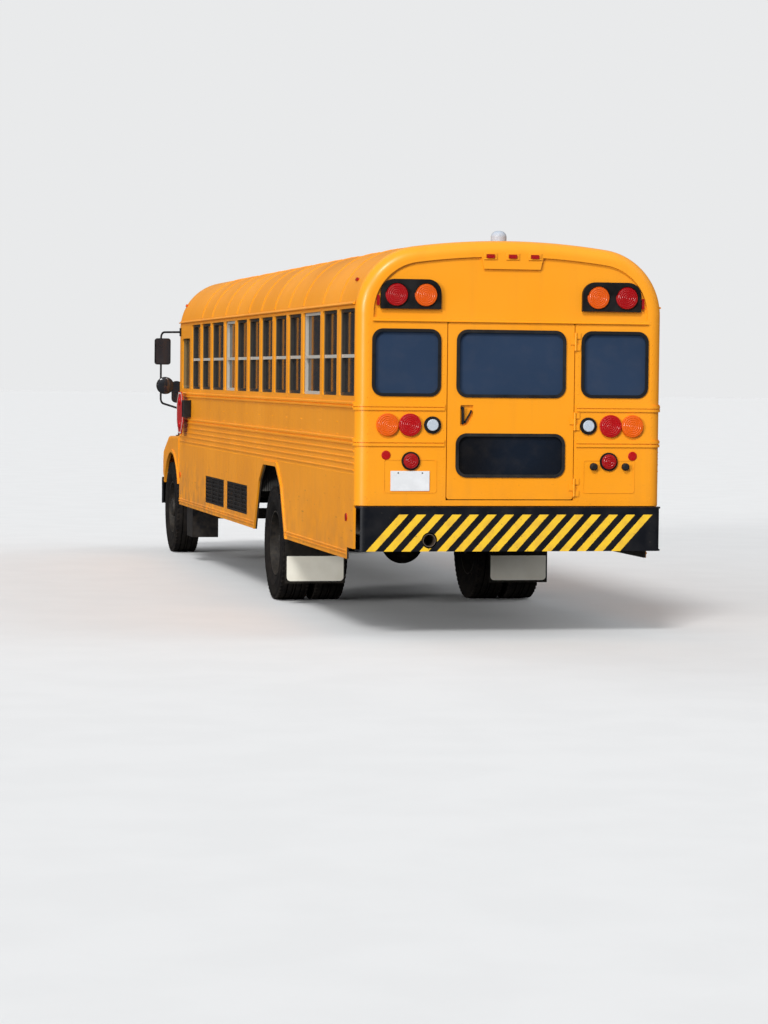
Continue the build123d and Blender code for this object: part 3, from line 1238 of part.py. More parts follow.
with BuildPart() as hood:
    with BuildSketch(Plane.XZ.offset(-HOOD_REAR_Y)):
        add(hood_section(HOOD_BACK_HALF, HOOD_BACK_TOP, HOOD_LOW))
    with BuildSketch(Plane.XZ.offset(-HOOD_NOSE_Y)):
        add(hood_section(HOOD_NOSE_HALF, HOOD_NOSE_TOP, HOOD_LOW))
    loft()
    with BuildSketch(Plane.YZ.offset(-FENDER_HALF)):
        add(fender_outline(0))
    extrude(amount=2 * FENDER_HALF)
    outer_edges = hood.edges().filter_by(lambda e: abs(abs(e.center().X) - FENDER_HALF) < 1)
    fillet(
        outer_edges.filter_by(lambda e: e.center().Z > HOOD_LOW and e.center().Y < HOOD_REAR_Y - 1),
        FENDER_EDGE_R,
    )
    with BuildSketch(Plane.YZ.offset(-FENDER_HALF - FENDER_LIP_PROUD)):
        with Locations((FRONT_AXLE_Y, HUB_Z + 20)):
            Circle(ARCH_R + FENDER_LIP_W)
        add(fender_outline(0), mode=Mode.INTERSECT)
    extrude(amount=2 * (FENDER_HALF + FENDER_LIP_PROUD))
    with BuildSketch(Plane.XZ.offset(-(HOOD_REAR_Y + 1))):
        add(hood_section(HOOD_BACK_HALF - HOOD_T, HOOD_BACK_TOP - HOOD_T, HOOD_LOW - 60))
    with BuildSketch(Plane.XZ.offset(-(HOOD_NOSE_Y + HOOD_T))):
        add(hood_section(HOOD_NOSE_HALF - HOOD_T, HOOD_NOSE_TOP - HOOD_T, HOOD_LOW - 60))
    loft(mode=Mode.SUBTRACT)
    with BuildSketch(Plane.YZ.offset(-FENDER_HALF + HOOD_T)):
        add(fender_outline(HOOD_T))
        with Locations((HOOD_REAR_Y, (FENDER_LOW + FENDER_TOP) / 2)):
            Rectangle(60, FENDER_TOP - FENDER_LOW - 2 * HOOD_T)
    extrude(amount=2 * (FENDER_HALF - HOOD_T), mode=Mode.SUBTRACT)
    with BuildSketch(Plane.YZ.offset(-2 * FENDER_HALF)):
        with Locations((FRONT_AXLE_Y, HUB_Z + 20)):
            Circle(ARCH_R)
    extrude(amount=4 * FENDER_HALF, mode=Mode.SUBTRACT)
    box_between(
        (-GRILLE_HALF, HOOD_NOSE_Y - 1, GRILLE_LOW),
        (GRILLE_HALF, HOOD_NOSE_Y + 60, GRILLE_TOP),
        Mode.SUBTRACT,
    )
    for side in (-1, 1):
        with BuildSketch(Plane.XZ.offset(-(HOOD_NOSE_Y + 90))):
            with Locations((side * HEADLAMP_X, HEADLAMP_Z)):
                RectangleRounded(HEADLAMP_W, HEADLAMP_H, HEADLAMP_R)
        extrude(amount=200, mode=Mode.SUBTRACT)
    for side in (-1, 1):
        low_x = min(side * LUG_IN, side * (LUG_IN + LUG_T))
        box_between(
            (low_x, HOOD_NOSE_Y + 8, HOOD_PIVOT_Z - LUG_R),
            (low_x + LUG_T, PIVOT_Y + LUG_R, HOOD_PIVOT_Z + 50),
        )
        with BuildSketch(Plane.YZ.offset(side * BRACKET_IN)):
            with Locations((PIVOT_Y, HOOD_PIVOT_Z)):
                Circle(PIN_R)
        extrude(amount=side * (LUG_IN + LUG_T / 2 - BRACKET_IN))
hood.part.label = "hood"
export_step(hood.part, "parts/hood.step")

# Grille with its slots, standing a little proud of the hood
SLOT_COUNT = 7
SLOT_PITCH = 45
SLOT_H = 24
with BuildPart() as grille:
    with BuildSketch(Plane.XZ.offset(-(HOOD_NOSE_Y + 20))):
        with Locations((0, (GRILLE_LOW + GRILLE_TOP) / 2)):
            Rectangle(2 * (GRILLE_HALF - FIT_GAP), GRILLE_TOP - GRILLE_LOW - 2 * FIT_GAP)
            with GridLocations(0, SLOT_PITCH, 1, SLOT_COUNT):
                Rectangle(2 * GRILLE_HALF - 60, SLOT_H, mode=Mode.SUBTRACT)
    extrude(amount=26)
grille.part.label = "grille"
export_step(grille.part, "parts/grille.step")

# Headlamps with their turn lamps
with BuildPart() as headlamps:
    with BuildSketch(Plane.XZ.offset(-(HOOD_NOSE_Y + 22))):
        for side in (-1, 1):
            with Locations((side * HEADLAMP_X, HEADLAMP_Z)):
                RectangleRounded(
                    HEADLAMP_W - 2 * FIT_GAP, HEADLAMP_H - 2 * FIT_GAP, HEADLAMP_R - FIT_GAP
                )
    extrude(amount=20)
headlamps.part.label = "headlamps"
export_step(headlamps.part, "parts/headlamps.step")

# Crossover mirrors on curved stalks from the tops of the fenders
CROSS_MIRROR_X = 1043
CROSS_MIRROR_Y = FRONT_AXLE_Y - 410
CROSS_MIRROR_Z = 1813
CROSS_MIRROR_W = 110
CROSS_MIRROR_H = 250
CROSS_MIRROR_T = 60
STALK_R = 10
STALK_FOOT_Y = FRONT_AXLE_Y - 200
STALK_FOOT_W = 60
FENDER_SLOPE = FENDER_DROP / (HOOD_REAR_Y - FRONT_AXLE_Y + FENDER_SHOULDER)
STALK_FOOT_Z = FENDER_TOP - FENDER_SLOPE * (HOOD_REAR_Y - STALK_FOOT_Y - STALK_FOOT_W / 2) + FIT_GAP
with BuildPart() as fender_mirrors:
    for side in (-1, 1):
        foot = (side * CROSS_MIRROR_X, STALK_FOOT_Y, STALK_FOOT_Z)
        with BuildLine():
            FilletPolyline(
                foot,
                (side * CROSS_MIRROR_X, STALK_FOOT_Y, CROSS_MIRROR_Z),
                (side * CROSS_MIRROR_X, CROSS_MIRROR_Y, CROSS_MIRROR_Z),
                radius=90,
            )
        with BuildSketch(Plane(foot)):
            Circle(STALK_R)
        sweep()
        with BuildSketch(Plane(foot)):
            RectangleRounded(STALK_FOOT_W, STALK_FOOT_W, 10)
        extrude(amount=10)
        with BuildSketch(Plane.XZ.offset(-(CROSS_MIRROR_Y + CROSS_MIRROR_T / 2))):
            with Locations((side * CROSS_MIRROR_X, CROSS_MIRROR_Z)):
                RectangleRounded(CROSS_MIRROR_W, CROSS_MIRROR_H, CROSS_MIRROR_W / 2 - 4)
        extrude(amount=CROSS_MIRROR_T)
fender_mirrors.part.label = "fender_mirrors"
export_step(fender_mirrors.part, "parts/fender_mirrors.step")

# Chassis frame: channel rails, cross members and tow eyes
TOW_R = 22
TOW_T = 20
TOW_BACK = 80
TOW_Y = NOSE_Y + NOSE_BUMPER_T + TOW_BACK
FRAME_FRONT_Y = NOSE_Y + BUMPER_PLATE + FIT_GAP
FRAME_REAR_Y = TAIL_Y - BUMPER_PLATE - FIT_GAP
# Cross member middles, measured back from the front axle
CROSS_MEMBERS = (-500, 1200, 2600, 4200, 5900, 7600, 9300)
CROSS_H = 120
# The rails' noses sit this far below the hood's pivot
NOSE_DROP = 75
CROSS_W = 80
with BuildPart() as chassis_frame:
    for side in (-1, 1):
        outer = side * (RAIL_X + RAIL_W / 2)
        inner = side * (RAIL_X - RAIL_W / 2)
        low_x, high_x = min(inner, outer), max(inner, outer)
        box_between((low_x, FRAME_FRONT_Y, RAIL_LOW), (high_x, FRAME_REAR_Y, RAIL_TOP))
        web = side * RAIL_T
        low_x, high_x = min(inner - web, outer - web), max(inner - web, outer - web)
        box_between(
            (low_x, FRAME_FRONT_Y - 1, RAIL_LOW + RAIL_T),
            (high_x, FRAME_REAR_Y + 1, RAIL_TOP - RAIL_T),
            Mode.SUBTRACT,
        )
        low_x = side * (RAIL_X + RAIL_W / 2) - (TOW_T if side > 0 else 0)
        box_between(
            (low_x, TOW_Y - TOW_BACK + 5, RAIL_LOW - 110), (low_x + TOW_T, TOW_Y + TOW_BACK, RAIL_LOW + 60)
        )
    for back in CROSS_MEMBERS:
        cross_y = FRONT_AXLE_Y + back
        cross_half = RAIL_X + RAIL_W / 2 - RAIL_T - FIT_GAP
        cross_low = RAIL_LOW + RAIL_T + FIT_GAP
        box_between(
            (-cross_half, cross_y - CROSS_W / 2, cross_low),
            (cross_half, cross_y + CROSS_W / 2, cross_low + CROSS_H),
        )
    box_between(
        (-RAIL_X - RAIL_W, FRAME_FRONT_Y - 1, HOOD_PIVOT_Z - NOSE_DROP),
        (RAIL_X + RAIL_W, HOOD_NOSE_Y + 3 * NOSE_DROP, RAIL_TOP + 1),
        Mode.SUBTRACT,
    )
    for side in (-1, 1):
        with BuildSketch(Plane.YZ.offset(side * BRACKET_IN)):
            with Locations((PIVOT_Y, HOOD_PIVOT_Z)):
                Circle(LUG_R)
            with Locations((PIVOT_Y + LUG_R, HOOD_PIVOT_Z - (NOSE_DROP + 40) / 2)):
                Rectangle(2 * LUG_R, NOSE_DROP + 40)
        extrude(amount=side * (BRACKET_OUT - BRACKET_IN))
    with BuildSketch(Plane.YZ.offset(-RAIL_X - RAIL_W)):
        with Locations((TOW_Y, RAIL_LOW - 60)):
            Circle(TOW_R)
        with Locations((PIVOT_Y, HOOD_PIVOT_Z)):
            Circle(PIN_R + FIT_GAP)
    extrude(amount=2 * (RAIL_X + RAIL_W), mode=Mode.SUBTRACT)
chassis_frame.part.label = "chassis_frame"
export_step(chassis_frame.part, "parts/chassis_frame.step")

# Engine block with its gearbox, and the radiator ahead of it
SHAFT_Z = HUB_Z + 40
ENGINE_LOW = RAIL_LOW + RAIL_T + CROSS_H + 2 * FIT_GAP
ENGINE_HALF = 300
ENGINE_TOP = 1400
GEARBOX_HALF = 180
GEARBOX_REAR_Y = FRONT_AXLE_Y + CROSS_MEMBERS[1] - CROSS_W / 2
RADIATOR_TOP = 1330
with BuildPart() as engine:
    box_between(
        (-ENGINE_HALF, FRONT_AXLE_Y - 560, ENGINE_LOW), (ENGINE_HALF, FRONT_Y - 60, ENGINE_TOP)
    )
    box_between(
        (-GEARBOX_HALF, FRONT_Y - 80, SHAFT_Z - 90), (GEARBOX_HALF, GEARBOX_REAR_Y - FIT_GAP, ENGINE_LOW + 90)
    )
    box_between(
        (-RAIL_X + RAIL_W / 2 + FIT_GAP, HOOD_NOSE_Y + 90, RAIL_LOW - 10),
        (RAIL_X - RAIL_W / 2 - FIT_GAP, HOOD_NOSE_Y + 150, RADIATOR_TOP),
    )
engine.part.label = "engine"
export_step(engine.part, "parts/engine.step")

# Rear axle with its differential and the shaft that drives it
AXLE_R = 70
DIFF_R = 190
PINION_R = 75
PINION_L = 420
SHAFT_R = 50
BRAKE_X = OUTER_TYRE_X - TWIN_PITCH - TYRE_W / 2 - 20
with BuildPart() as rear_axle:
    with BuildSketch(Plane.YZ.offset(-BRAKE_X)):
        with Locations((REAR_AXLE_Y, HUB_Z)):
            Circle(AXLE_R)
    extrude(amount=2 * BRAKE_X)
    with BuildSketch(Plane.YZ.offset(-OUTER_TYRE_X)):
        with Locations((REAR_AXLE_Y, HUB_Z)):
            Circle(SPINDLE_R)
    extrude(amount=2 * OUTER_TYRE_X)
    with Locations((0, REAR_AXLE_Y, HUB_Z)):
        Sphere(DIFF_R)
    with BuildSketch(Plane.XZ.offset(-REAR_AXLE_Y)):
        with Locations((0, SHAFT_Z)):
            Circle(PINION_R)
    extrude(amount=PINION_L)
    with BuildSketch(Plane.XZ.offset(-(REAR_AXLE_Y - PINION_L + 1))):
        with Locations((0, SHAFT_Z)):
            Circle(SHAFT_R)
    extrude(amount=REAR_AXLE_Y - PINION_L + 1 - GEARBOX_REAR_Y)
    for back in CROSS_MEMBERS[2:4]:
        cross_y = FRONT_AXLE_Y + back
        box_between(
            (-60, cross_y - 30, SHAFT_Z - 70), (60, cross_y + 30, RAIL_LOW + RAIL_T - FIT_GAP)
        )
rear_axle.part.label = "rear_axle"
export_step(rear_axle.part, "parts/rear_axle.step")

# Front axle: dropped beam with upright ends that hold the kingpins
BEAM_Z = HUB_Z - 60
BEAM_H = 90
BEAM_W = 90
BOSS_R = 42
BEAM_CLEAR = 74
BOSS_H = 110
KINGPIN_R = 20
EAR_T = 34
EAR_CLEAR = 1
with BuildPart() as front_axle:
    box_between(
        (-KINGPIN_X + BOSS_R / 2, FRONT_AXLE_Y - BEAM_W / 2, BEAM_Z - BEAM_H / 2),
        (KINGPIN_X - BOSS_R / 2, FRONT_AXLE_Y + BEAM_W / 2, BEAM_Z + BEAM_H / 2),
    )
    for side in (-1, 1):
        box_between(
            (side * 850 - 60, FRONT_AXLE_Y - BEAM_W / 2, BEAM_Z),
            (side * 850 + 60, FRONT_AXLE_Y + BEAM_W / 2, HUB_Z + BOSS_H / 2 - 10),
        )
        box_between(
            (side * KINGPIN_X - BEAM_CLEAR, FRONT_AXLE_Y - BEAM_W / 2, BEAM_Z - BEAM_H / 2 - 1),
            (side * KINGPIN_X + BEAM_CLEAR, FRONT_AXLE_Y + BEAM_W / 2, HUB_Z + BOSS_H / 2 + 1),
            Mode.SUBTRACT,
        )
        with BuildSketch(Plane.XY.offset(HUB_Z - BOSS_H / 2)):
            with Locations((side * KINGPIN_X, FRONT_AXLE_Y)):
                Circle(BOSS_R)
            with Locations((side * (KINGPIN_X - BEAM_CLEAR / 2 - 5), FRONT_AXLE_Y)):
                Rectangle(BEAM_CLEAR + 10, BEAM_W * 0.7)
        extrude(amount=BOSS_H)
        with BuildSketch(Plane.XY.offset(HUB_Z - BOSS_H / 2 - EAR_T)):
            with Locations((side * KINGPIN_X, FRONT_AXLE_Y)):
                Circle(KINGPIN_R)
        extrude(amount=BOSS_H + 2 * EAR_T)
front_axle.part.label = "front_axle"
export_step(front_axle.part, "parts/front_axle.step")

# Knuckles: two ears round the kingpin, a spindle for the wheel and a steering arm
HUB_IN = FRONT_TYRE_X - 30
ARM_Z = HUB_Z - BOSS_H / 2 - EAR_CLEAR - EAR_T
for side, name in ((1, "left"), (-1, "right")):
    with BuildPart() as knuckle:
        for low in (HUB_Z - BOSS_H / 2 - EAR_CLEAR - EAR_T, HUB_Z + BOSS_H / 2 + EAR_CLEAR):
            with BuildSketch(Plane.XY.offset(low)):
                with Locations((side * KINGPIN_X, FRONT_AXLE_Y)):
                    Circle(BOSS_R)
                with Locations((side * (KINGPIN_X + 30), FRONT_AXLE_Y)):
                    Rectangle(60, 2 * BOSS_R)
                with Locations((side * KINGPIN_X, FRONT_AXLE_Y)):
                    Circle(KINGPIN_R + EAR_CLEAR, mode=Mode.SUBTRACT)
            extrude(amount=EAR_T)
        low_x = min(side * (KINGPIN_X + 46), side * (KINGPIN_X + 66))
        box_between(
            (low_x, FRONT_AXLE_Y - BOSS_R, ARM_Z),
            (low_x + 20, FRONT_AXLE_Y + BOSS_R, HUB_Z + BOSS_H / 2 + EAR_CLEAR + EAR_T),
        )
        with BuildSketch(Plane.YZ.offset(side * (KINGPIN_X + 60))):
            with Locations((FRONT_AXLE_Y, HUB_Z)):
                Circle(SPINDLE_R)
        extrude(amount=side * (FRONT_TYRE_X + 60 - KINGPIN_X - 60))
        box_between(
            (side * KINGPIN_X - 20, FRONT_AXLE_Y + BOSS_R - 8, ARM_Z),
            (side * KINGPIN_X + 20, FRONT_AXLE_Y + STEER_ARM + 24, ARM_Z + EAR_T),
        )
    knuckle.part.label = f"knuckle_{name}"
    export_step(knuckle.part, f"parts/knuckle_{name}.step")

# Tie rod under the steering arms, with an upright eye at each end
EYE_R = 26
with BuildPart() as tie_rod:
    with BuildSketch(Plane.YZ.offset(-KINGPIN_X - 24)):
        with Locations((FRONT_AXLE_Y + STEER_ARM, ARM_Z - FIT_GAP - 18)):
            Circle(18)
    extrude(amount=2 * (KINGPIN_X + 24))
    with BuildSketch(Plane.XY.offset(ARM_Z - FIT_GAP)):
        with Locations((-KINGPIN_X, FRONT_AXLE_Y + STEER_ARM), (KINGPIN_X, FRONT_AXLE_Y + STEER_ARM)):
            Circle(EYE_R)
    extrude(amount=-36)
tie_rod.part.label = "tie_rod"
export_step(tie_rod.part, "parts/tie_rod.step")

# Leaf springs, arched between hangers under the rails
SPRING_W = 75
SPRING_T = 60
PAD_H = 30
# Spring columns: x, axle y, half length, height of the spring's low middle, sagitta
SPRINGS = (
    (RAIL_X, FRONT_AXLE_Y, 560, BEAM_Z + BEAM_H / 2 + PAD_H, 100),
    (490, REAR_AXLE_Y, 640, HUB_Z + AXLE_R + PAD_H, 50),
)
with BuildPart() as leaf_springs:
    for x, axle_y, half, low, rise in SPRINGS:
        for side in (-1, 1):
            with BuildSketch(Plane.YZ.offset(side * x - SPRING_W / 2)):
                with BuildLine():
                    ThreePointArc((axle_y - half, low + rise), (axle_y, low), (axle_y + half, low + rise))
                    Line((axle_y + half, low + rise), (axle_y + half, low + rise + SPRING_T / 2))
                    ThreePointArc(
                        (axle_y + half, low + rise + SPRING_T / 2),
                        (axle_y, low + SPRING_T),
                        (axle_y - half, low + rise + SPRING_T / 2),
                    )
                    Line((axle_y - half, low + rise + SPRING_T / 2), (axle_y - half, low + rise))
                make_face()
                with Locations((axle_y, low - PAD_H / 2 + 5)):
                    Rectangle(120, PAD_H + 10 - 2 * FIT_GAP)
                with Locations((axle_y - half, low + rise + 15), (axle_y + half, low + rise + 15)):
                    Circle(32)
            extrude(amount=SPRING_W)
            for end in (-1, 1):
                box_between(
                    (side * x - SPRING_W / 2, axle_y + end * half - 30, low + rise),
                    (side * x + SPRING_W / 2, axle_y + end * half + 30, RAIL_LOW - FIT_GAP),
                )
leaf_springs.part.label = "leaf_springs"
export_step(leaf_springs.part, "parts/leaf_springs.step")

# Exhaust: muffler behind the rear axle and the pipe through the bumper
MUFFLER_R = 105
MUFFLER_Y = REAR_AXLE_Y + 1650
MUFFLER_L = 800
PIPE_X = 280
PIPE_Z = 640
with BuildPart() as exhaust:
    with BuildLine():
        FilletPolyline(
            (TAILPIPE_X, TAILPIPE_END, TAILPIPE_Z),
            (TAILPIPE_X, MUFFLER_Y - MUFFLER_L / 2 - 90, TAILPIPE_Z),
            (TAILPIPE_X - 150, MUFFLER_Y - MUFFLER_L / 2 - 290, PIPE_Z),
            (PIPE_X, MUFFLER_Y - MUFFLER_L / 2 - 430, PIPE_Z),
            (PIPE_X, FRONT_Y + 900, PIPE_Z),
            radius=80,
        )
    with BuildSketch(Plane.XZ.offset(-TAILPIPE_END)):
        with Locations((TAILPIPE_X, TAILPIPE_Z)):
            Circle(TAILPIPE_R)
    sweep()
    with BuildSketch(Plane.XZ.offset(-(MUFFLER_Y + MUFFLER_L / 2))):
        with Locations((TAILPIPE_X, TAILPIPE_Z)):
            Circle(MUFFLER_R)
    extrude(amount=MUFFLER_L)
    box_between(
        (TAILPIPE_X - 10, SILLS[2] - 20, TAILPIPE_Z + TAILPIPE_R),
        (TAILPIPE_X + 10, SILLS[2] + 20, SILL_LOW - FIT_GAP),
    )
    for back in CROSS_MEMBERS[2:5]:
        hanger_y = FRONT_AXLE_Y + back
        box_between(
            (PIPE_X - 15, hanger_y - 20, PIPE_Z), (PIPE_X + 15, hanger_y + 20, RAIL_LOW + RAIL_T - FIT_GAP)
        )
    with BuildSketch(Plane.XZ.offset(-TAILPIPE_END)):
        with Locations((TAILPIPE_X, TAILPIPE_Z)):
            Circle(TAILPIPE_R - 4)
    extrude(amount=TAILPIPE_BORE, mode=Mode.SUBTRACT)
exhaust.part.label = "exhaust"
export_step(exhaust.part, "parts/exhaust.step")

# Fuel tank on the right rail and battery box hung on the left
TANK_OUT = -1120
TANK_FRONT_Y = REAR_AXLE_Y - 1770
TANK_L = 850
TANK_LOW = 560
BATTERY_IN = 900
BATTERY_OUT = 1180
BATTERY_LOW = 270
BATTERY_TOP = 720
BATTERY_L = 420
with BuildPart() as fuel_tank:
    box_between(
        (TANK_OUT, TANK_FRONT_Y, TANK_LOW),
        (-RAIL_X - RAIL_W / 2 - FIT_GAP, TANK_FRONT_Y + TANK_L, SILL_LOW - 12),
    )
    fillet(fuel_tank.edges().filter_by(Axis.Y), 60)
fuel_tank.part.label = "fuel_tank"
export_step(fuel_tank.part, "parts/fuel_tank.step")

with BuildPart() as battery_box:
    box_between((BATTERY_IN, STOP_Y - BATTERY_L, BATTERY_LOW), (BATTERY_OUT, STOP_Y, BATTERY_TOP))
    box_between(
        (RAIL_X + RAIL_W / 2 + FIT_GAP, STOP_Y - BATTERY_L + 120, BATTERY_TOP),
        (BATTERY_OUT, STOP_Y - 120, BATTERY_TOP + 40),
    )
battery_box.part.label = "battery_box"
export_step(battery_box.part, "parts/battery_box.step")

# Mud flaps on the rear walls of the wheel housings
FLAP_X = 922
FLAP_W = 536
FLAP_T = 8
FLAP_LOW = 190
with BuildPart() as mud_flaps:
    for side in (-1, 1):
        low_x = side * FLAP_X - FLAP_W / 2
        flap_y = REAR_AXLE_Y + HOUSING_HALF + FIT_GAP
        box_between(
            (low_x, flap_y, FLAP_LOW), (low_x + FLAP_W, flap_y + FLAP_T, FLOOR_TOP - FLOOR_T - FIT_GAP)
        )
mud_flaps.part.label = "mud_flaps"
export_step(mud_flaps.part, "parts/mud_flaps.step")

# Tyres and rims
SHOULDER_R = 40
HAND_HOLES = 8
HAND_HOLE_R = 27
HAND_HOLE_OUT = 205


def tyre_section(middle_x, y):
    """Section of one tyre above the hub, on the plane through the wheel's axis."""
    with BuildSketch(Plane.XZ.offset(-y)) as section:
        with Locations((middle_x, HUB_Z + (TYRE_R + RIM_R) / 2)):
            Rectangle(TYRE_W, TYRE_R - RIM_R)
        fillet(section.vertices().group_by(Axis.Z)[-1], SHOULDER_R)
    return section.sketch


def rim_section(middle_x, y, dish_x, hub_low, hub_high):
    """Section of a rim: barrel, disc and hub sleeve above the spindle."""
    half = TYRE_W / 2 - 24
    with BuildSketch(Plane.XZ.offset(-y)) as section:
        with Locations((middle_x, HUB_Z + RIM_R - FIT_GAP - RIM_T / 2)):
            Rectangle(2 * half, RIM_T)
        with Locations((dish_x, HUB_Z + (RIM_R + SPINDLE_R) / 2)):
            Rectangle(RIM_T + 6, RIM_R - SPINDLE_R - 2 * RIM_T)
        sleeve_low = SPINDLE_R + FIT_GAP
        with Locations(((hub_low + hub_high) / 2, HUB_Z + sleeve_low + 30)):
            Rectangle(abs(hub_high - hub_low), 60)
    return section.sketch


for side, side_name in ((1, "left"), (-1, "right")):
    for end, axle_y in (("front", FRONT_AXLE_Y), ("rear", REAR_AXLE_Y)):
        wheel_axis = Axis((0, axle_y, HUB_Z), (1, 0, 0))
        if end == "front":
            middles = (side * FRONT_TYRE_X,)
        else:
            middles = (side * OUTER_TYRE_X, side * (OUTER_TYRE_X - TWIN_PITCH))
        with BuildPart() as tyre:
            for middle_x in middles:
                add(tyre_section(middle_x, axle_y))
            revolve(axis=wheel_axis)
        tyre.part.label = f"tyre_{end}_{side_name}"
        export_step(tyre.part, f"parts/tyre_{end}_{side_name}.step")
        with BuildPart() as rim:
            if end == "front":
                dish = side * (FRONT_TYRE_X + 40)
                low, high = side * (FRONT_TYRE_X + 16), side * (FRONT_TYRE_X + 110)
                add(rim_section(middles[0], axle_y, dish, low, high))
            else:
                dish = side * (OUTER_TYRE_X - 110)
                low, high = side * (BRAKE_X + 20), side * (OUTER_TYRE_X + 60)
                add(rim_section(middles[0], axle_y, dish, low, high))
                dish = side * (OUTER_TYRE_X - TWIN_PITCH + 110)
                add(rim_section(middles[1], axle_y, dish, low, high))
            revolve(axis=wheel_axis)
            with Locations(Plane((0, axle_y, HUB_Z), z_dir=(1, 0, 0))):
                with PolarLocations(HAND_HOLE_OUT, HAND_HOLES):
                    Cylinder(HAND_HOLE_R, 3 * OUTER_TYRE_X, mode=Mode.SUBTRACT)
        rim.part.label = f"rim_{end}_{side_name}"
        export_step(rim.part, f"parts/rim_{end}_{side_name}.step")

# Passenger seats: benches either side of the aisle on tube legs
SEAT_ROWS = 12
SEAT_PITCH = 700
SEAT_FIRST = 420
AISLE_HALF = 170
SEAT_OUT = 1130
CUSHION_Z = 1400
CUSHION_T = 100
CUSHION_DEPTH = 400
BACK_TOP = 2020
BACK_T = 80
LEG_W = 30
PAN_T = 30
SEAT_R = 35
BACK_R = 70


def seat_places():
    """Rear edge, side and x-span of each bench, leaving the entrance clear on the right."""
    places = []
    for row in range(SEAT_ROWS):
        seat_y = REAR_Y - SEAT_FIRST - row * SEAT_PITCH
        for side in (-1, 1):
            if side < 0 and seat_y - CUSHION_DEPTH - BACK_T < ENTRY_REAR_Y + 100:
                continue
            low_x, high_x = sorted((side * AISLE_HALF, side * SEAT_OUT))
            places.append((seat_y, side, low_x, high_x))
    return places


with BuildPart() as seat_cushions:
    for seat_y, side, low_x, high_x in seat_places():
        with BuildSketch(Plane.YZ.offset(low_x)):
            with Locations((seat_y - CUSHION_DEPTH / 2, CUSHION_Z + CUSHION_T / 2)):
                RectangleRounded(CUSHION_DEPTH, CUSHION_T, SEAT_R)
        extrude(amount=high_x - low_x)
        with BuildSketch(Plane.XZ.offset(-(seat_y + BACK_T))):
            with Locations(((low_x + high_x) / 2, (CUSHION_Z + BACK_TOP) / 2)):
                RectangleRounded(high_x - low_x, BACK_TOP - CUSHION_Z, BACK_R)
        extrude(amount=BACK_T - FIT_GAP)
seat_cushions.part.label = "seat_cushions"
export_step(seat_cushions.part, "parts/seat_cushions.step")

with BuildPart() as seat_frames:
    for seat_y, side, low_x, high_x in seat_places():
        leg_x = side * (AISLE_HALF + 2 * LEG_W)
        box_between(
            (low_x, seat_y - CUSHION_DEPTH + 20, CUSHION_Z - PAN_T), (high_x, seat_y, CUSHION_Z - FIT_GAP)
        )
        for leg_y in (seat_y - CUSHION_DEPTH + 40, seat_y - 2 * LEG_W):
            box_between(
                (leg_x - LEG_W / 2, leg_y, FLOOR_TOP + FIT_GAP),
                (leg_x + LEG_W / 2, leg_y + LEG_W, CUSHION_Z - PAN_T + 1),
            )
seat_frames.part.label = "seat_frames"
export_step(seat_frames.part, "parts/seat_frames.step")

# Driver's seat, dashboard and steering wheel
DRIVER_X = 620
DRIVER_Y = FRONT_Y + 760
PEDESTAL_HALF = 130
DRIVER_HALF = 240
DRIVER_CUSHION_Z = 1380
DRIVER_CUSHION_TOP = 1480
DRIVER_BACK_TOP = 2080
with BuildPart() as driver_seat:
    box_between(
        (DRIVER_X - PEDESTAL_HALF, DRIVER_Y + 60, FLOOR_TOP + FIT_GAP),
        (DRIVER_X + PEDESTAL_HALF, DRIVER_Y + 340, DRIVER_CUSHION_Z),
    )
    box_between(
        (DRIVER_X - DRIVER_HALF, DRIVER_Y, DRIVER_CUSHION_Z),
        (DRIVER_X + DRIVER_HALF, DRIVER_Y + 460, DRIVER_CUSHION_TOP),
    )
    box_between(
        (DRIVER_X - DRIVER_HALF + 10, DRIVER_Y + 400, DRIVER_CUSHION_TOP - 10),
        (DRIVER_X + DRIVER_HALF - 10, DRIVER_Y + 500, DRIVER_BACK_TOP),
    )
driver_seat.part.label = "driver_seat"
export_step(driver_seat.part, "parts/driver_seat.step")

DASH_TOP = 1720
DASH_DEPTH = 320
DASH_FRONT_Y = FRONT_Y + WALL + FIT_GAP
STEER_Y = DASH_FRONT_Y + DASH_DEPTH + 70
STEER_Z = 1690
STEER_TILT = 35
HUB_H = 50
with BuildPart() as dashboard:
    with BuildSketch(Plane.YZ.offset(-500)):
        with BuildLine():
            Polyline(
                (DASH_FRONT_Y, FLOOR_TOP + 300),
                (DASH_FRONT_Y, DASH_TOP),
                (DASH_FRONT_Y + DASH_DEPTH - 60, DASH_TOP - 30),
                (DASH_FRONT_Y + DASH_DEPTH, DASH_TOP - 120),
                (DASH_FRONT_Y + DASH_DEPTH - 40, FLOOR_TOP + 400),
                close=True,
            )
        make_face()
    extrude(amount=500 + INSIDE - 20)
    steer_axis = (0, sin(radians(STEER_TILT)), cos(radians(STEER_TILT)))
    steer_plane = Plane((DRIVER_X, STEER_Y, STEER_Z), z_dir=steer_axis)
    with BuildSketch(steer_plane.offset(-HUB_H / 2 - FIT_GAP)):
        Circle(28)
    extrude(amount=-260)
dashboard.part.label = "dashboard"
export_step(dashboard.part, "parts/dashboard.step")

WHEEL_R = 225
GRIP_R = 15
with BuildPart() as steering_wheel:
    with Locations(steer_plane):
        Torus(WHEEL_R, GRIP_R)
        Cylinder(45, HUB_H)
        with PolarLocations(0, 3, start_angle=90):
            Box(WHEEL_R, 40, 14, align=(Align.MIN, Align.CENTER, Align.CENTER))
steering_wheel.part.label = "steering_wheel"
export_step(steering_wheel.part, "parts/steering_wheel.step")
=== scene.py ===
import json
import math

import bmesh
import bpy
from mathutils import Matrix, Vector


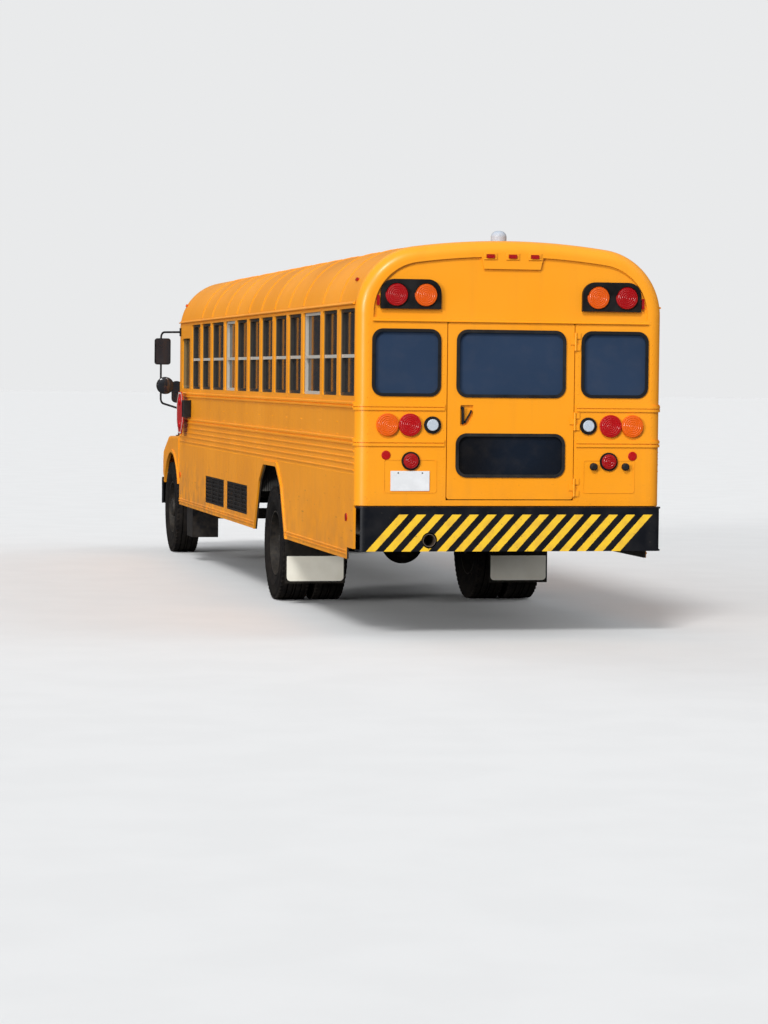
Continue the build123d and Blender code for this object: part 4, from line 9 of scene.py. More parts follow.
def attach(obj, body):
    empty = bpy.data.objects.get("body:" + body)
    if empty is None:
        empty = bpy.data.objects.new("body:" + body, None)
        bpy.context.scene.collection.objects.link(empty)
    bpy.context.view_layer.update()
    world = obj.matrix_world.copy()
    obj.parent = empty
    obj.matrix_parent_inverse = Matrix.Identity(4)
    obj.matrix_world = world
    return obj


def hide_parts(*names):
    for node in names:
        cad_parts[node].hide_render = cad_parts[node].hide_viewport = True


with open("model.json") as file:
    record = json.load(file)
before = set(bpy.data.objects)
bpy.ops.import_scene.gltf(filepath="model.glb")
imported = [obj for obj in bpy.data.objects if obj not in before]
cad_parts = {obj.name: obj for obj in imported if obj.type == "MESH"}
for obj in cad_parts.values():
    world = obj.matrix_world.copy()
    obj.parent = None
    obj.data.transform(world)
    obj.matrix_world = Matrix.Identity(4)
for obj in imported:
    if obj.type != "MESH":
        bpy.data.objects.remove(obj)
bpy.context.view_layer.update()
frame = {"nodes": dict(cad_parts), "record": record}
nodes = frame["nodes"]

# Places of the bus in metres: front is -Y, its left is +X, the ground is 0
TAIL_Y = 5.915
REAR_Y = 5.85
FRONT_Y = -4.05
HOOD_REAR_Y = -4.5
HOOD_NOSE_Y = -5.79
REAR_AXLE_Y = 1.97
FRONT_AXLE_Y = -5.04
HUB_Z = 0.51
HALF = 1.219
ROOF_TOP = 3.074
CORNER_X = 0.699
CORNER_Z = 2.504
CORNER_R = 0.52
CROWN_R = 5.5
SASH_RAIL_Z = 2.172
SECTION_START = 0.057
SECTION_PITCH = 0.711
WIDE_PITCH = 0.876
WIDE_SECTIONS = (3, 10)
SECTION_COUNT = 12
PILLAR = 0.1
PALE_WINDOWS = (3, 9)
FLAP_Y = 2.6183
BACKWARD = (0, 1, 0)
SMALLEST = 1e-6


# Node trees

def node(tree, kind, values=None, **settings):
    """A node with its settings, and its inputs set to values or joined to sockets."""
    made = tree.nodes.new(kind)
    for key, value in settings.items():
        setattr(made, key, value)
    for key, value in (values or {}).items():
        if isinstance(value, bpy.types.NodeSocket):
            tree.links.new(value, made.inputs[key])
        else:
            made.inputs[key].default_value = value
    return made


def calc(tree, operation, *values):
    """One sum on numbers or sockets."""
    return node(tree, "ShaderNodeMath", dict(enumerate(values)), operation=operation).outputs[0]


def graded(tree, value, low, high, out_low=0.0, out_high=1.0):
    """A value stretched from one range to another and held inside it."""
    return node(tree, "ShaderNodeMapRange", {0: value, 1: low, 2: high, 3: out_low, 4: out_high}).outputs[0]


def mixed(tree, share, first, second):
    """A colour between two colours."""
    return node(tree, "ShaderNodeMix", {0: share, 6: first, 7: second}, data_type="RGBA").outputs[2]


def noise(tree, place, scale, detail=3.0, stretch=(1.0, 1.0, 1.0)):
    """Cloudy noise on the bus's own coordinates, drawn out along an axis by a small stretch."""
    mapped = node(tree, "ShaderNodeMapping", {"Vector": place, "Scale": stretch}).outputs[0]
    return node(tree, "ShaderNodeTexNoise", {"Vector": mapped, "Scale": scale, "Detail": detail}).outputs[0]


def start_finish(name, rough, metal=0.0, coat=0.0, coat_rough=0.1, sheen=0.0, gloss=0.5):
    """A new finish: its material, tree, shader and the place on the bus."""
    made = bpy.data.materials.new(name)
    made.use_nodes = True
    tree = made.node_tree
    shader = tree.nodes["Principled BSDF"]
    shader.inputs["Roughness"].default_value = rough
    shader.inputs["Metallic"].default_value = metal
    shader.inputs["Coat Weight"].default_value = coat
    shader.inputs["Coat Roughness"].default_value = coat_rough
    shader.inputs["Sheen Weight"].default_value = sheen
    shader.inputs["Specular IOR Level"].default_value = gloss
    place = node(tree, "ShaderNodeTexCoord").outputs["Object"]
    return made, tree, shader, place


def bumped(tree, shader, height, depth, strength=1.0):
    """Relief from a height, with the depth in metres."""
    relief = node(tree, "ShaderNodeBump", {"Height": height, "Distance": depth, "Strength": strength})
    tree.links.new(relief.outputs[0], shader.inputs["Normal"])


def rgb(*levels):
    """A colour with full cover."""
    return (*levels, 1.0)


DUST = rgb(0.42, 0.31, 0.19)
GRIME = rgb(0.06, 0.05, 0.04)
GRAIN_DEPTH = 0.0004

# Yellow paint: fresh, faded, streaked by rain, splashed, scuffed, and on the inner faces a black undercoat
# low down with painted shade above it
FRESH_YELLOW = rgb(0.90, 0.320, 0.007)
FADED_YELLOW = rgb(0.93, 0.38, 0.022)
RAIN_STREAK = rgb(0.62, 0.24, 0.02)
ROAD_SPLASH = rgb(0.36, 0.16, 0.05)
SCUFF_MARK = rgb(0.12, 0.07, 0.03)
UNDERCOAT_LOW = rgb(0.035, 0.028, 0.022)
# Painted shade for the inner faces above the floor
INNER_FACE_SHADE = rgb(0.23, 0.15, 0.06)

# Stripes of the rear bumper, and the paints of the bumper
STRIPE_FIRST_X = 1.077
STRIPE_LOW_Z = 0.672
STRIPE_TOP_Z = 0.957
STRIPE_PITCH = 0.1396
STRIPE_LEAN = 0.909
STRIPE_SHARE = 0.52
STRIPE_COUNT = 15
BUMPER_BLACK = (rgb(0.004, 0.005, 0.008), rgb(0.012, 0.012, 0.014))
STRIPE_YELLOW = (rgb(0.86, 0.53, 0.03), rgb(0.70, 0.40, 0.04))

# Panes: side glass, rear glass with a painted sky reflection in two tones, and painted shade on the low pane
# of the rear door
SIDE_PANE = rgb(0.022, 0.022, 0.024)
REAR_PANE_SKY_REFLECTION = rgb(0.030, 0.052, 0.10)
REAR_PANE_REFLECTION_PATCH = rgb(0.015, 0.03, 0.06)
LOW_PANE_SHADE = rgb(0.006, 0.006, 0.007)

# Lenses: the turn lamp's part of a headlamp, and the edge of the painted shade inside the bezels
TURN_AMBER = rgb(0.95, 0.20, 0.01)
TURN_LAMP_X = 0.982
BEZEL_SHADE_X = 0.86


def worn_finish(name, base, second, rough, scale=8.0, dust=0.3, metal=0.0, coat=0.0, gloss=0.5):
    """A finish of two close colours in patches, with dust that thickens towards the ground."""
    made, tree, shader, place = start_finish(name, rough, metal, coat, gloss=gloss)
    patches = noise(tree, place, scale, 5.0)
    colour = mixed(tree, graded(tree, patches, 0.35, 0.65), base, second)
    height = node(tree, "ShaderNodeSeparateXYZ", {0: place}).outputs[2]
    low_down = graded(tree, height, 1.6, 0.0, 0.15 * dust, dust)
    settled = calc(tree, "MULTIPLY", low_down, graded(tree, noise(tree, place, 3.0 * scale, 6.0), 0.3, 0.75))
    tree.links.new(mixed(tree, settled, colour, DUST), shader.inputs["Base Color"])
    grain = noise(tree, place, 20.0 * scale, 4.0)
    rubbed = graded(tree, patches, 0.3, 0.7, rough * 0.8, min(1.0, rough * 1.2))
    tree.links.new(rubbed, shader.inputs["Roughness"])
    bumped(tree, shader, grain, GRAIN_DEPTH)
    return made


def yellow_finish(name):
    """Bus yellow, faded on top, with rain streaks, dirt low down and ahead, black undercoat low inside and
    painted shade on inner faces.
    """
    made, tree, shader, place = start_finish(name, 0.38, coat=0.12, coat_rough=0.2, gloss=0.35)
    side, along, height = node(tree, "ShaderNodeSeparateXYZ", {0: place}).outputs
    cloud = noise(tree, place, 0.9, 5.0)
    fade = graded(tree, height, 2.7, 3.05, 0.0, 0.25)
    fade = calc(tree, "ADD", fade, graded(tree, cloud, 0.35, 0.7, 0.0, 0.3))
    colour = mixed(tree, fade, FRESH_YELLOW, FADED_YELLOW)
    streak = graded(tree, noise(tree, place, 11.0, 4.0, (1.0, 1.0, 0.07)), 0.52, 0.72, 0.0, 0.16)
    colour = mixed(tree, streak, colour, RAIN_STREAK)
    splash = graded(tree, height, 1.25, 0.62, 0.0, 0.4)
    splash = calc(tree, "MULTIPLY", splash, graded(tree, noise(tree, place, 7.0, 7.0), 0.38, 0.68))
    splash = calc(tree, "MULTIPLY", splash, graded(tree, along, 0.5, -2.0, 0.8, 1.8))
    colour = mixed(tree, splash, colour, ROAD_SPLASH)
    scuff = graded(tree, noise(tree, place, 24.0, 8.0, (1.0, 0.25, 1.6)), 0.66, 0.74, 0.0, 0.5)
    low_only = graded(tree, height, 1.5, 0.9, 0.0, 1.0)
    colour = mixed(tree, calc(tree, "MULTIPLY", scuff, low_only), colour, SCUFF_MARK)
    rim = graded(tree, height, 1.25, 1.30, 0.002, 0.012)
    hidden = graded(tree, calc(tree, "ADD", calc(tree, "ABSOLUTE", side), rim), HALF, HALF - 0.004)
    inner_span = ((along, REAR_Y - 0.10, REAR_Y - 0.12), (along, FRONT_Y + 0.05, FRONT_Y + 0.07),
                  (height, 2.56, 2.54))
    for coordinate, low, high in inner_span:
        hidden = calc(tree, "MULTIPLY", hidden, graded(tree, coordinate, low, high))
    # Inner faces: black undercoat below the floor, and dark brown painted shade above it
    undercoat_and_shade = mixed(tree, graded(tree, height, 1.0, 1.2), UNDERCOAT_LOW, INNER_FACE_SHADE)
    colour = mixed(tree, hidden, colour, undercoat_and_shade)
    tree.links.new(colour, shader.inputs["Base Color"])
    tree.links.new(graded(tree, cloud, 0.3, 0.7, 0.28, 0.46), shader.inputs["Roughness"])
    waves = noise(tree, place, 2.6, 2.0)
    bumped(tree, shader, waves, 0.012, 0.35)
    return made


def bumper_finish(name):
    """Black paint with slanting yellow stripes on the rear face."""
    made, tree, shader, place = start_finish(name, 0.42, coat=0.05, gloss=0.25)
    x, y, z = node(tree, "ShaderNodeSeparateXYZ", {0: place}).outputs
    ragged = graded(tree, noise(tree, place, 60.0, 5.0), 0.3, 0.7, -0.012, 0.012)
    leaned = calc(tree, "MULTIPLY", calc(tree, "SUBTRACT", z, STRIPE_LOW_Z), STRIPE_LEAN)
    along = calc(tree, "ADD", x, leaned)
    step = calc(tree, "DIVIDE", calc(tree, "SUBTRACT", along, STRIPE_FIRST_X), STRIPE_PITCH)
    worn_step = calc(tree, "ADD", step, ragged)
    stripe = calc(tree, "LESS_THAN", calc(tree, "FRACT", worn_step), STRIPE_SHARE)
    for limit, operation in ((0.8, "LESS_THAN"), (1.0 - STRIPE_COUNT - 0.05, "GREATER_THAN")):
        stripe = calc(tree, "MULTIPLY", stripe, calc(tree, operation, step, limit))
    stripe = calc(tree, "MULTIPLY", stripe, calc(tree, "LESS_THAN", z, STRIPE_TOP_Z))
    stripe = calc(tree, "MULTIPLY", stripe, calc(tree, "GREATER_THAN", y, TAIL_Y - 0.012))
    dark = mixed(tree, graded(tree, noise(tree, place, 9.0, 6.0), 0.4, 0.7), *BUMPER_BLACK)
    bright = mixed(tree, graded(tree, noise(tree, place, 14.0, 6.0), 0.45, 0.75), *STRIPE_YELLOW)
    colour = mixed(tree, stripe, dark, bright)
    chips = graded(tree, noise(tree, place, 45.0, 8.0), 0.68, 0.73)
    colour = mixed(tree, calc(tree, "MULTIPLY", chips, 0.7), colour, GRIME)
    tree.links.new(colour, shader.inputs["Base Color"])
    bumped(tree, shader, noise(tree, place, 5.0, 3.0), 0.004, 0.4)
    return made


def glass_finish(name):
    """Dark tinted panes with a film of dust; painted blue sky reflection on the rear panes, painted shade on
    the low door pane.
    """
    made, tree, shader, place = start_finish(name, 0.04, gloss=0.3)
    y, z = node(tree, "ShaderNodeSeparateXYZ", {0: place}).outputs[1:]
    tail = graded(tree, y, REAR_Y - 0.05, REAR_Y - 0.03)
    low_pane_shade_mask = graded(tree, z, 1.62, 1.60)
    painted_reflection = mixed(tree, low_pane_shade_mask, REAR_PANE_SKY_REFLECTION, LOW_PANE_SHADE)
    # Darker patches in the painted reflection of the rear panes
    cloud = noise(tree, place, 1.3, 1.0)
    painted_reflection = mixed(tree, graded(tree, cloud, 0.3, 0.7, 0.0, 0.3), painted_reflection, REAR_PANE_REFLECTION_PATCH)
    colour = mixed(tree, tail, SIDE_PANE, painted_reflection)
    film = graded(tree, noise(tree, place, 9.0, 3.0), 0.45, 0.8, 0.0, 0.02)
    tree.links.new(mixed(tree, film, colour, DUST), shader.inputs["Base Color"])
    cover = graded(tree, calc(tree, "ADD", tail, film), 0.0, 1.0, 0.84, 0.93)
    tree.links.new(cover, shader.inputs["Alpha"])
    tree.links.new(graded(tree, film, 0.0, 0.02, 0.08, 0.14), shader.inputs["Roughness"])
    return made


def lens_finish(name, base, deep_tone_and_shade):
    """Moulded lens with a fine square pattern under a gloss coat, with painted shade inside pods and bezels.
    """
    made, tree, shader, place = start_finish(name, 0.3, coat=0.2, coat_rough=0.08, gloss=0.3)
    facets = {"Scale": 85.0, "Vector": place}
    across = node(tree, "ShaderNodeTexWave", facets, bands_direction="X").outputs[1]
    upright = node(tree, "ShaderNodeTexWave", facets, bands_direction="Z").outputs[1]
    squares = calc(tree, "MULTIPLY", across, upright)
    colour = mixed(tree, graded(tree, squares, 0.1, 0.7), deep_tone_and_shade, base)
    x, y, z = node(tree, "ShaderNodeSeparateXYZ", {0: place}).outputs
    turn_lamp = calc(tree, "MULTIPLY", calc(tree, "GREATER_THAN", calc(tree, "ABSOLUTE", x), TURN_LAMP_X),
                     calc(tree, "LESS_THAN", y, HOOD_NOSE_Y + 0.08))
    colour = mixed(tree, turn_lamp, colour, TURN_AMBER)
    # Painted shade on the lenses under the visors and inside the bezels of the lower tail lamps
    visor_shade = graded(tree, z, 2.50, 2.54, 0.0, 0.55)
    bezel_shade = calc(tree, "MULTIPLY", graded(tree, z, 1.46, 1.44, 0.0, 0.7),
                    calc(tree, "LESS_THAN", calc(tree, "ABSOLUTE", x), BEZEL_SHADE_X))
    bezel_shade = calc(tree, "MULTIPLY", bezel_shade, calc(tree, "GREATER_THAN", y, REAR_Y))
    colour = mixed(tree, calc(tree, "MAXIMUM", visor_shade, bezel_shade), colour, deep_tone_and_shade)
    dusty = graded(tree, noise(tree, place, 30.0, 5.0), 0.5, 0.8, 0.0, 0.05)
    tree.links.new(mixed(tree, dusty, colour, DUST), shader.inputs["Base Color"])
    bumped(tree, shader, squares, 0.0015, 0.5)
    return made


def sash_finish(name):
    """Dark sashes with pale meeting rails, pale emergency windows and black rubber at the tail."""
    made, tree, shader, place = start_finish(name, 0.45)
    y, z = node(tree, "ShaderNodeSeparateXYZ", {0: place}).outputs[1:]
    from_rail = calc(tree, "ABSOLUTE", calc(tree, "SUBTRACT", z, SASH_RAIL_Z))
    pale = calc(tree, "LESS_THAN", from_rail, 0.014)
    for section in PALE_WINDOWS:
        apart = calc(tree, "ABSOLUTE", calc(tree, "SUBTRACT", y, window_middle(section)))
        pale = calc(tree, "MAXIMUM", pale, calc(tree, "LESS_THAN", apart, 0.40))
    grain = noise(tree, place, 40.0, 5.0)
    dark = mixed(tree, grain, rgb(0.018, 0.017, 0.016), rgb(0.04, 0.036, 0.03))
    light = mixed(tree, grain, rgb(0.44, 0.42, 0.38), rgb(0.60, 0.57, 0.50))
    colour = mixed(tree, pale, dark, light)
    tail = calc(tree, "GREATER_THAN", y, REAR_Y - 0.03)
    colour = mixed(tree, tail, colour, rgb(0.008, 0.008, 0.009))
    tree.links.new(colour, shader.inputs["Base Color"])
    tree.links.new(calc(tree, "MULTIPLY", pale, 0.2), shader.inputs["Metallic"])
    bumped(tree, shader, grain, 0.0003)
    return made


def ribbed_finish(name, base, second):
    """Black sheet rubber with fine ribs along the bus."""
    made, tree, shader, place = start_finish(name, 0.7)
    ribs = node(tree, "ShaderNodeTexWave", {"Scale": 16.0, "Vector": place}, bands_direction="X").outputs[1]
    dirt = noise(tree, place, 6.0, 6.0)
    tree.links.new(mixed(tree, graded(tree, dirt, 0.35, 0.7), base, second), shader.inputs["Base Color"])
    bumped(tree, shader, ribs, 0.002)
    return made


def vinyl_finish(name):
    """Seat vinyl: leather grain with rubbed highs and creases."""
    made, tree, shader, place = start_finish(name, 0.42, coat=0.08, sheen=0.05)
    grain = node(tree, "ShaderNodeTexVoronoi", {"Vector": place, "Scale": 420.0}).outputs[0]
    wear = noise(tree, place, 4.0, 4.0)
    colour = mixed(tree, graded(tree, wear, 0.35, 0.7), rgb(0.035, 0.055, 0.045), rgb(0.065, 0.085, 0.07))
    tree.links.new(colour, shader.inputs["Base Color"])
    tree.links.new(graded(tree, wear, 0.3, 0.7, 0.36, 0.55), shader.inputs["Roughness"])
    bumped(tree, shader, grain, 0.0005, 0.6)
    return made


def window_span(section):
    """Rear and front edge of a side window, counted from the rear."""
    rear = REAR_Y - SECTION_START
    for before in range(1, section):
        rear -= WIDE_PITCH if before in WIDE_SECTIONS else SECTION_PITCH
    pitch = WIDE_PITCH if section in WIDE_SECTIONS else SECTION_PITCH
    return rear - PILLAR / 2, rear - pitch + PILLAR / 2


def window_middle(section):
    """Middle of a side window along the bus."""
    return sum(window_span(section)) / 2


finishes = {
    "yellow_paint": yellow_finish("bus_yellow"),
    "black_paint": worn_finish("satin_black_paint", rgb(0.006, 0.006, 0.008), rgb(0.014, 0.014, 0.016), 0.4,
                               dust=0.08, gloss=0.25),
    "bumper": bumper_finish("striped_bumper_paint"),
    "red_paint": worn_finish("stop_red_paint", rgb(0.52, 0.012, 0.012), rgb(0.42, 0.012, 0.012), 0.35,
                             dust=0.1),
    "sash_metal": sash_finish("window_sash_metal"),
    "tinted_glass": glass_finish("tinted_window_glass"),
    "black_rubber": worn_finish("weatherstrip_rubber", rgb(0.008, 0.008, 0.009), rgb(0.016, 0.016, 0.017),
                                0.65, dust=0.12, gloss=0.2),
    "floor_rubber": ribbed_finish("ribbed_floor_rubber", rgb(0.03, 0.03, 0.03), rgb(0.07, 0.062, 0.05)),
    # Flap black: a real black border below the white panel, and painted shadow of the body on the flap above
    # it
    "flap_rubber": worn_finish("mud_flap_black_and_shadow", rgb(0.006, 0.006, 0.006), rgb(0.014, 0.013, 0.012), 0.85,
                               dust=0.05, gloss=0.15),
    "flap_panel": worn_finish("mud_flap_white", rgb(0.92, 0.88, 0.76), rgb(0.84, 0.80, 0.68), 0.6, 5.0,
                              dust=0.08),
    "plate": worn_finish("blank_plate_white", rgb(0.78, 0.79, 0.80), rgb(0.70, 0.71, 0.72), 0.4, 12.0,
                         dust=0.05),
    "black_plastic": worn_finish("moulded_black_plastic", rgb(0.005, 0.005, 0.006), rgb(0.011, 0.011, 0.012),
                                 0.5, dust=0.08, gloss=0.2),
    "red_lens": lens_finish("red_lens", rgb(0.74, 0.003, 0.007), rgb(0.30, 0.001, 0.003)),
    "amber_lens": lens_finish("amber_lens", rgb(1.0, 0.18, 0.002), rgb(0.66, 0.08, 0.001)),
    "clear_lens": lens_finish("clear_lens", rgb(0.72, 0.78, 0.84), rgb(0.40, 0.45, 0.52)),
    "chassis_paint": worn_finish("chassis_black", rgb(0.006, 0.005, 0.005), rgb(0.013, 0.011, 0.010), 0.7,
                                 dust=0.06, gloss=0.1),
    "engine_iron": worn_finish("painted_iron", rgb(0.07, 0.075, 0.08), rgb(0.12, 0.115, 0.11), 0.6, 12.0,
                               metal=0.4),
    "exhaust_steel": worn_finish("hot_steel", rgb(0.20, 0.14, 0.10), rgb(0.32, 0.28, 0.25), 0.5, 14.0,
                                 metal=0.8),
    "seat_vinyl": vinyl_finish("seat_vinyl"),
    "seat_steel": worn_finish("seat_tube_paint", rgb(0.03, 0.03, 0.03), rgb(0.06, 0.06, 0.06), 0.4),
    "dash_plastic": worn_finish("dash_plastic", rgb(0.05, 0.05, 0.055), rgb(0.08, 0.08, 0.085), 0.6, 30.0),
    "tyre_rubber": worn_finish("tyre_rubber", rgb(0.004, 0.004, 0.005), rgb(0.010, 0.009, 0.009), 0.85, 6.0,
                               dust=0.035, gloss=0.1),
    "rim_paint": worn_finish("rim_black", rgb(0.010, 0.010, 0.011), rgb(0.028, 0.025, 0.022), 0.55, 10.0,
                             dust=0.08, gloss=0.3),
    "bright_steel": worn_finish("bright_steel", rgb(0.55, 0.55, 0.55), rgb(0.42, 0.41, 0.40), 0.3, 20.0,
                                metal=1.0),
    # Mirror glass near black under a gloss coat: a painted dark reflection
    "mirror_silver": worn_finish("mirror_silver", rgb(0.022, 0.024, 0.03), rgb(0.014, 0.016, 0.02), 0.12, 3.0,
                                 dust=0.02, coat=0.6),
    "pale_reflective": worn_finish("pale_reflective", rgb(0.70, 0.70, 0.64), rgb(0.60, 0.60, 0.54), 0.35,
                                   10.0),
}

# Every part of the frame takes the finish of its slot
for row in frame["record"]["subparts"]:
    wanted = "bumper" if row["node"] == "bumpers" else row["material_slot"]
    surface = nodes[row["node"]].data
    surface.materials.clear()
    surface.materials.append(finishes[wanted])


# Shapes in mesh code

def rounded_block(low, high, edge=0.004, steps=2):
    """Block between two corners with rounded edges."""
    shape = bmesh.new()
    bmesh.ops.create_cube(shape, size=1.0)
    size = Vector(high) - Vector(low)
    middle = (Vector(high) + Vector(low)) / 2
    stretch = Matrix.Translation(middle) @ Matrix.Diagonal((*size, 1.0))
    bmesh.ops.transform(shape, matrix=stretch, verts=shape.verts)
    bmesh.ops.bevel(shape, geom=shape.edges[:], offset=edge, segments=steps, affect="EDGES", profile=0.5)
    return shape


def turned(profile, centre, axis, steps):
    """Shape turned about an axis through a centre, from a closed profile of (radius, far along the axis)."""
    shape = bmesh.new()
    along = Vector(axis).normalized()
    side = along.orthogonal().normalized()
    other = along.cross(side)
    rings = []
    for step in range(steps):
        angle = 2 * math.pi * step / steps
        out = side * math.cos(angle) + other * math.sin(angle)
        rings.append([shape.verts.new(Vector(centre) + out * radius + along * far)
                      for radius, far in profile])
    for ring, following in zip(rings, rings[1:] + rings[:1]):
        for index in range(len(profile)):
            after = (index + 1) % len(profile)
            shape.faces.new((ring[index], ring[after], following[after], following[index]))
    bmesh.ops.remove_doubles(shape, verts=shape.verts, dist=SMALLEST)
    bmesh.ops.recalc_face_normals(shape, faces=shape.faces)
    return shape


def prism(outline, depth):
    """Flat outline of 3-D points pushed along a depth."""
    shape = bmesh.new()
    lower = [shape.verts.new(Vector(point)) for point in outline]
    upper = [shape.verts.new(Vector(point) + Vector(depth)) for point in outline]
    shape.faces.new(lower)
    shape.faces.new(upper)
    for index in range(len(outline)):
        after = (index + 1) % len(outline)
        shape.faces.new((lower[index], lower[after], upper[after], upper[index]))
    bmesh.ops.recalc_face_normals(shape, faces=shape.faces)
    return shape


def gathered(shapes):
    """One mesh from several shapes."""
    whole = bmesh.new()
    for shape in shapes:
        part = bpy.data.meshes.new("part")
        shape.to_mesh(part)
        shape.free()
        whole.from_mesh(part)
        bpy.data.meshes.remove(part)
    mesh = bpy.data.meshes.new("whole")
    whole.to_mesh(mesh)
    whole.free()
    return mesh


def keep(name, mesh, finish, body="root", smooth_below=40):
    """Makes a mesh a piece of the bus with its finish, its body and the slot that it takes."""
    mesh.name = name
    mesh.materials.clear()
    mesh.materials.append(finishes[finish])
    mesh.shade_smooth()
    mesh.set_sharp_from_angle(angle=math.radians(smooth_below))
    piece = bpy.data.objects.new(name, mesh)
    bpy.context.scene.collection.objects.link(piece)
    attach(piece, body)
    return piece


# Geometry Nodes trees

def start_tree(name, inputs):
    """A tree with named inputs; gives the tree, its input node and its output node."""
    tree = bpy.data.node_groups.new(name, "GeometryNodeTree")
    tree.interface.new_socket("Geometry", in_out="INPUT", socket_type="NodeSocketGeometry")
    for label, kind, value in inputs:
        tree.interface.new_socket(label, in_out="INPUT", socket_type=kind).default_value = value
    tree.interface.new_socket("Geometry", in_out="OUTPUT", socket_type="NodeSocketGeometry")
    return tree, tree.nodes.new("NodeGroupInput"), tree.nodes.new("NodeGroupOutput")


def end_tree(tree, result, source, closing):
    """Realizes the copies, gives them their finish and closes the tree."""
    real = node(tree, "GeometryNodeRealizeInstances", {"Geometry": result})
    dressed = node(tree, "GeometryNodeSetMaterial", {
        "Geometry": real.outputs[0], "Material": source.outputs["Finish"],
    })
    tree.links.new(dressed.outputs[0], closing.inputs[0])
    return tree


def grown(tree, base, values):
    """Runs a tree on a base mesh with its named values and gives the plain mesh that it makes."""
    holder = bpy.data.objects.new("holder", base)
    bpy.context.scene.collection.objects.link(holder)
    modifier = holder.modifiers.new("grow", "NODES")
    modifier.node_group = tree
    for socket in tree.interface.items_tree:
        if socket.in_out == "INPUT" and socket.name in values:
            modifier[socket.identifier] = values[socket.name]
    bpy.context.view_layer.update()
    ready = holder.evaluated_get(bpy.context.evaluated_depsgraph_get())
    mesh = bpy.data.meshes.new_from_object(ready)
    holder.modifiers.remove(modifier)
    bpy.data.objects.remove(holder)
    return mesh


def rivet_tree():
    """Domed rivet heads at an even pitch along lines, each standing on the surface that its line lies on."""
    tree, source, closing = start_tree("rivets_on_lines", (
        ("Pitch", "NodeSocketFloat", 0.05), ("Head Radius", "NodeSocketFloat", 0.006),
        ("Head Height", "NodeSocketFloat", 0.003), ("Finish", "NodeSocketMaterial", None),
    ))
    lines = node(tree, "GeometryNodeMeshToCurve", {"Mesh": source.outputs["Geometry"]})
    spaced = node(tree, "GeometryNodeResampleCurve", {
        "Curve": lines.outputs[0], "Length": source.outputs["Pitch"],
    }, mode="LENGTH")
    facing = node(tree, "GeometryNodeInputNamedAttribute", {"Name": "facing"}, data_type="FLOAT_VECTOR")
    upright = node(tree, "FunctionNodeAlignRotationToVector", {"Vector": facing.outputs[0]}, axis="Z")
    head = node(tree, "GeometryNodeMeshCone", {
        "Vertices": 7, "Radius Bottom": source.outputs["Head Radius"], "Depth": source.outputs["Head Height"],
        "Radius Top": node(tree, "ShaderNodeMath", {0: source.outputs["Head Radius"], 1: 0.5},
                           operation="MULTIPLY").outputs[0],
    })
    heads = node(tree, "GeometryNodeInstanceOnPoints", {
        "Points": spaced.outputs[0], "Instance": head.outputs[0], "Rotation": upright.outputs[0],
    })
    return end_tree(tree, heads.outputs[0], source, closing)


def copies_tree():
    """Copies of a shape, each turned and moved on from the last about a centre."""
    tree, source, closing = start_tree("turned_and_moved_copies", (
        ("Count", "NodeSocketInt", 8), ("Centre", "NodeSocketVector", (0, 0, 0)),
        ("Turn", "NodeSocketVector", (0, 0, 0)), ("Move", "NodeSocketVector", (0, 0, 0)),
        ("Finish", "NodeSocketMaterial", None),
    ))
    index = node(tree, "GeometryNodeInputIndex").outputs[0]
    moved = node(tree, "ShaderNodeVectorMath", {0: source.outputs["Move"]}, operation="SCALE")
    tree.links.new(index, moved.inputs["Scale"])
    place = node(tree, "ShaderNodeVectorMath", {0: source.outputs["Centre"], 1: moved.outputs[0]},
                 operation="ADD")
    spots = node(tree, "GeometryNodePoints", {"Count": source.outputs["Count"], "Position": place.outputs[0]})
    turn = node(tree, "ShaderNodeVectorMath", {0: source.outputs["Turn"]}, operation="SCALE")
    tree.links.new(index, turn.inputs["Scale"])
    as_turn = node(tree, "FunctionNodeEulerToRotation", {0: turn.outputs[0]})
    back = node(tree, "ShaderNodeVectorMath", {0: source.outputs["Centre"], "Scale": -1.0}, operation="SCALE")
    centred = node(tree, "GeometryNodeTransform", {
        "Geometry": source.outputs["Geometry"], "Translation": back.outputs[0],
    })
    made = node(tree, "GeometryNodeInstanceOnPoints", {
        "Points": spots.outputs[0], "Instance": centred.outputs[0], "Rotation": as_turn.outputs[0],
    })
    return end_tree(tree, made.outputs[0], source, closing)


def tube_tree():
    """Round tube along lines, closed at its ends."""
    tree, source, closing = start_tree("tube_on_lines", (
        ("Radius", "NodeSocketFloat", 0.01), ("Sides", "NodeSocketInt", 10),
        ("Bend Radius", "NodeSocketFloat", 0.02), ("Finish", "NodeSocketMaterial", None),
    ))
    lines = node(tree, "GeometryNodeMeshToCurve", {"Mesh": source.outputs["Geometry"]})
    bent = node(tree, "GeometryNodeFilletCurve", {
        "Curve": lines.outputs[0], "Radius": source.outputs["Bend Radius"], "Limit Radius": True, "Count": 5,
    }, mode="POLY")
    ring = node(tree, "GeometryNodeCurvePrimitiveCircle", {
        "Resolution": source.outputs["Sides"], "Radius": source.outputs["Radius"],
    })
    skin = node(tree, "GeometryNodeCurveToMesh", {
        "Curve": bent.outputs[0], "Profile Curve": ring.outputs[0], "Fill Caps": True,
    })
    return end_tree(tree, skin.outputs[0], source, closing)


RIVETS = rivet_tree()
COPIES = copies_tree()
TUBES = tube_tree()


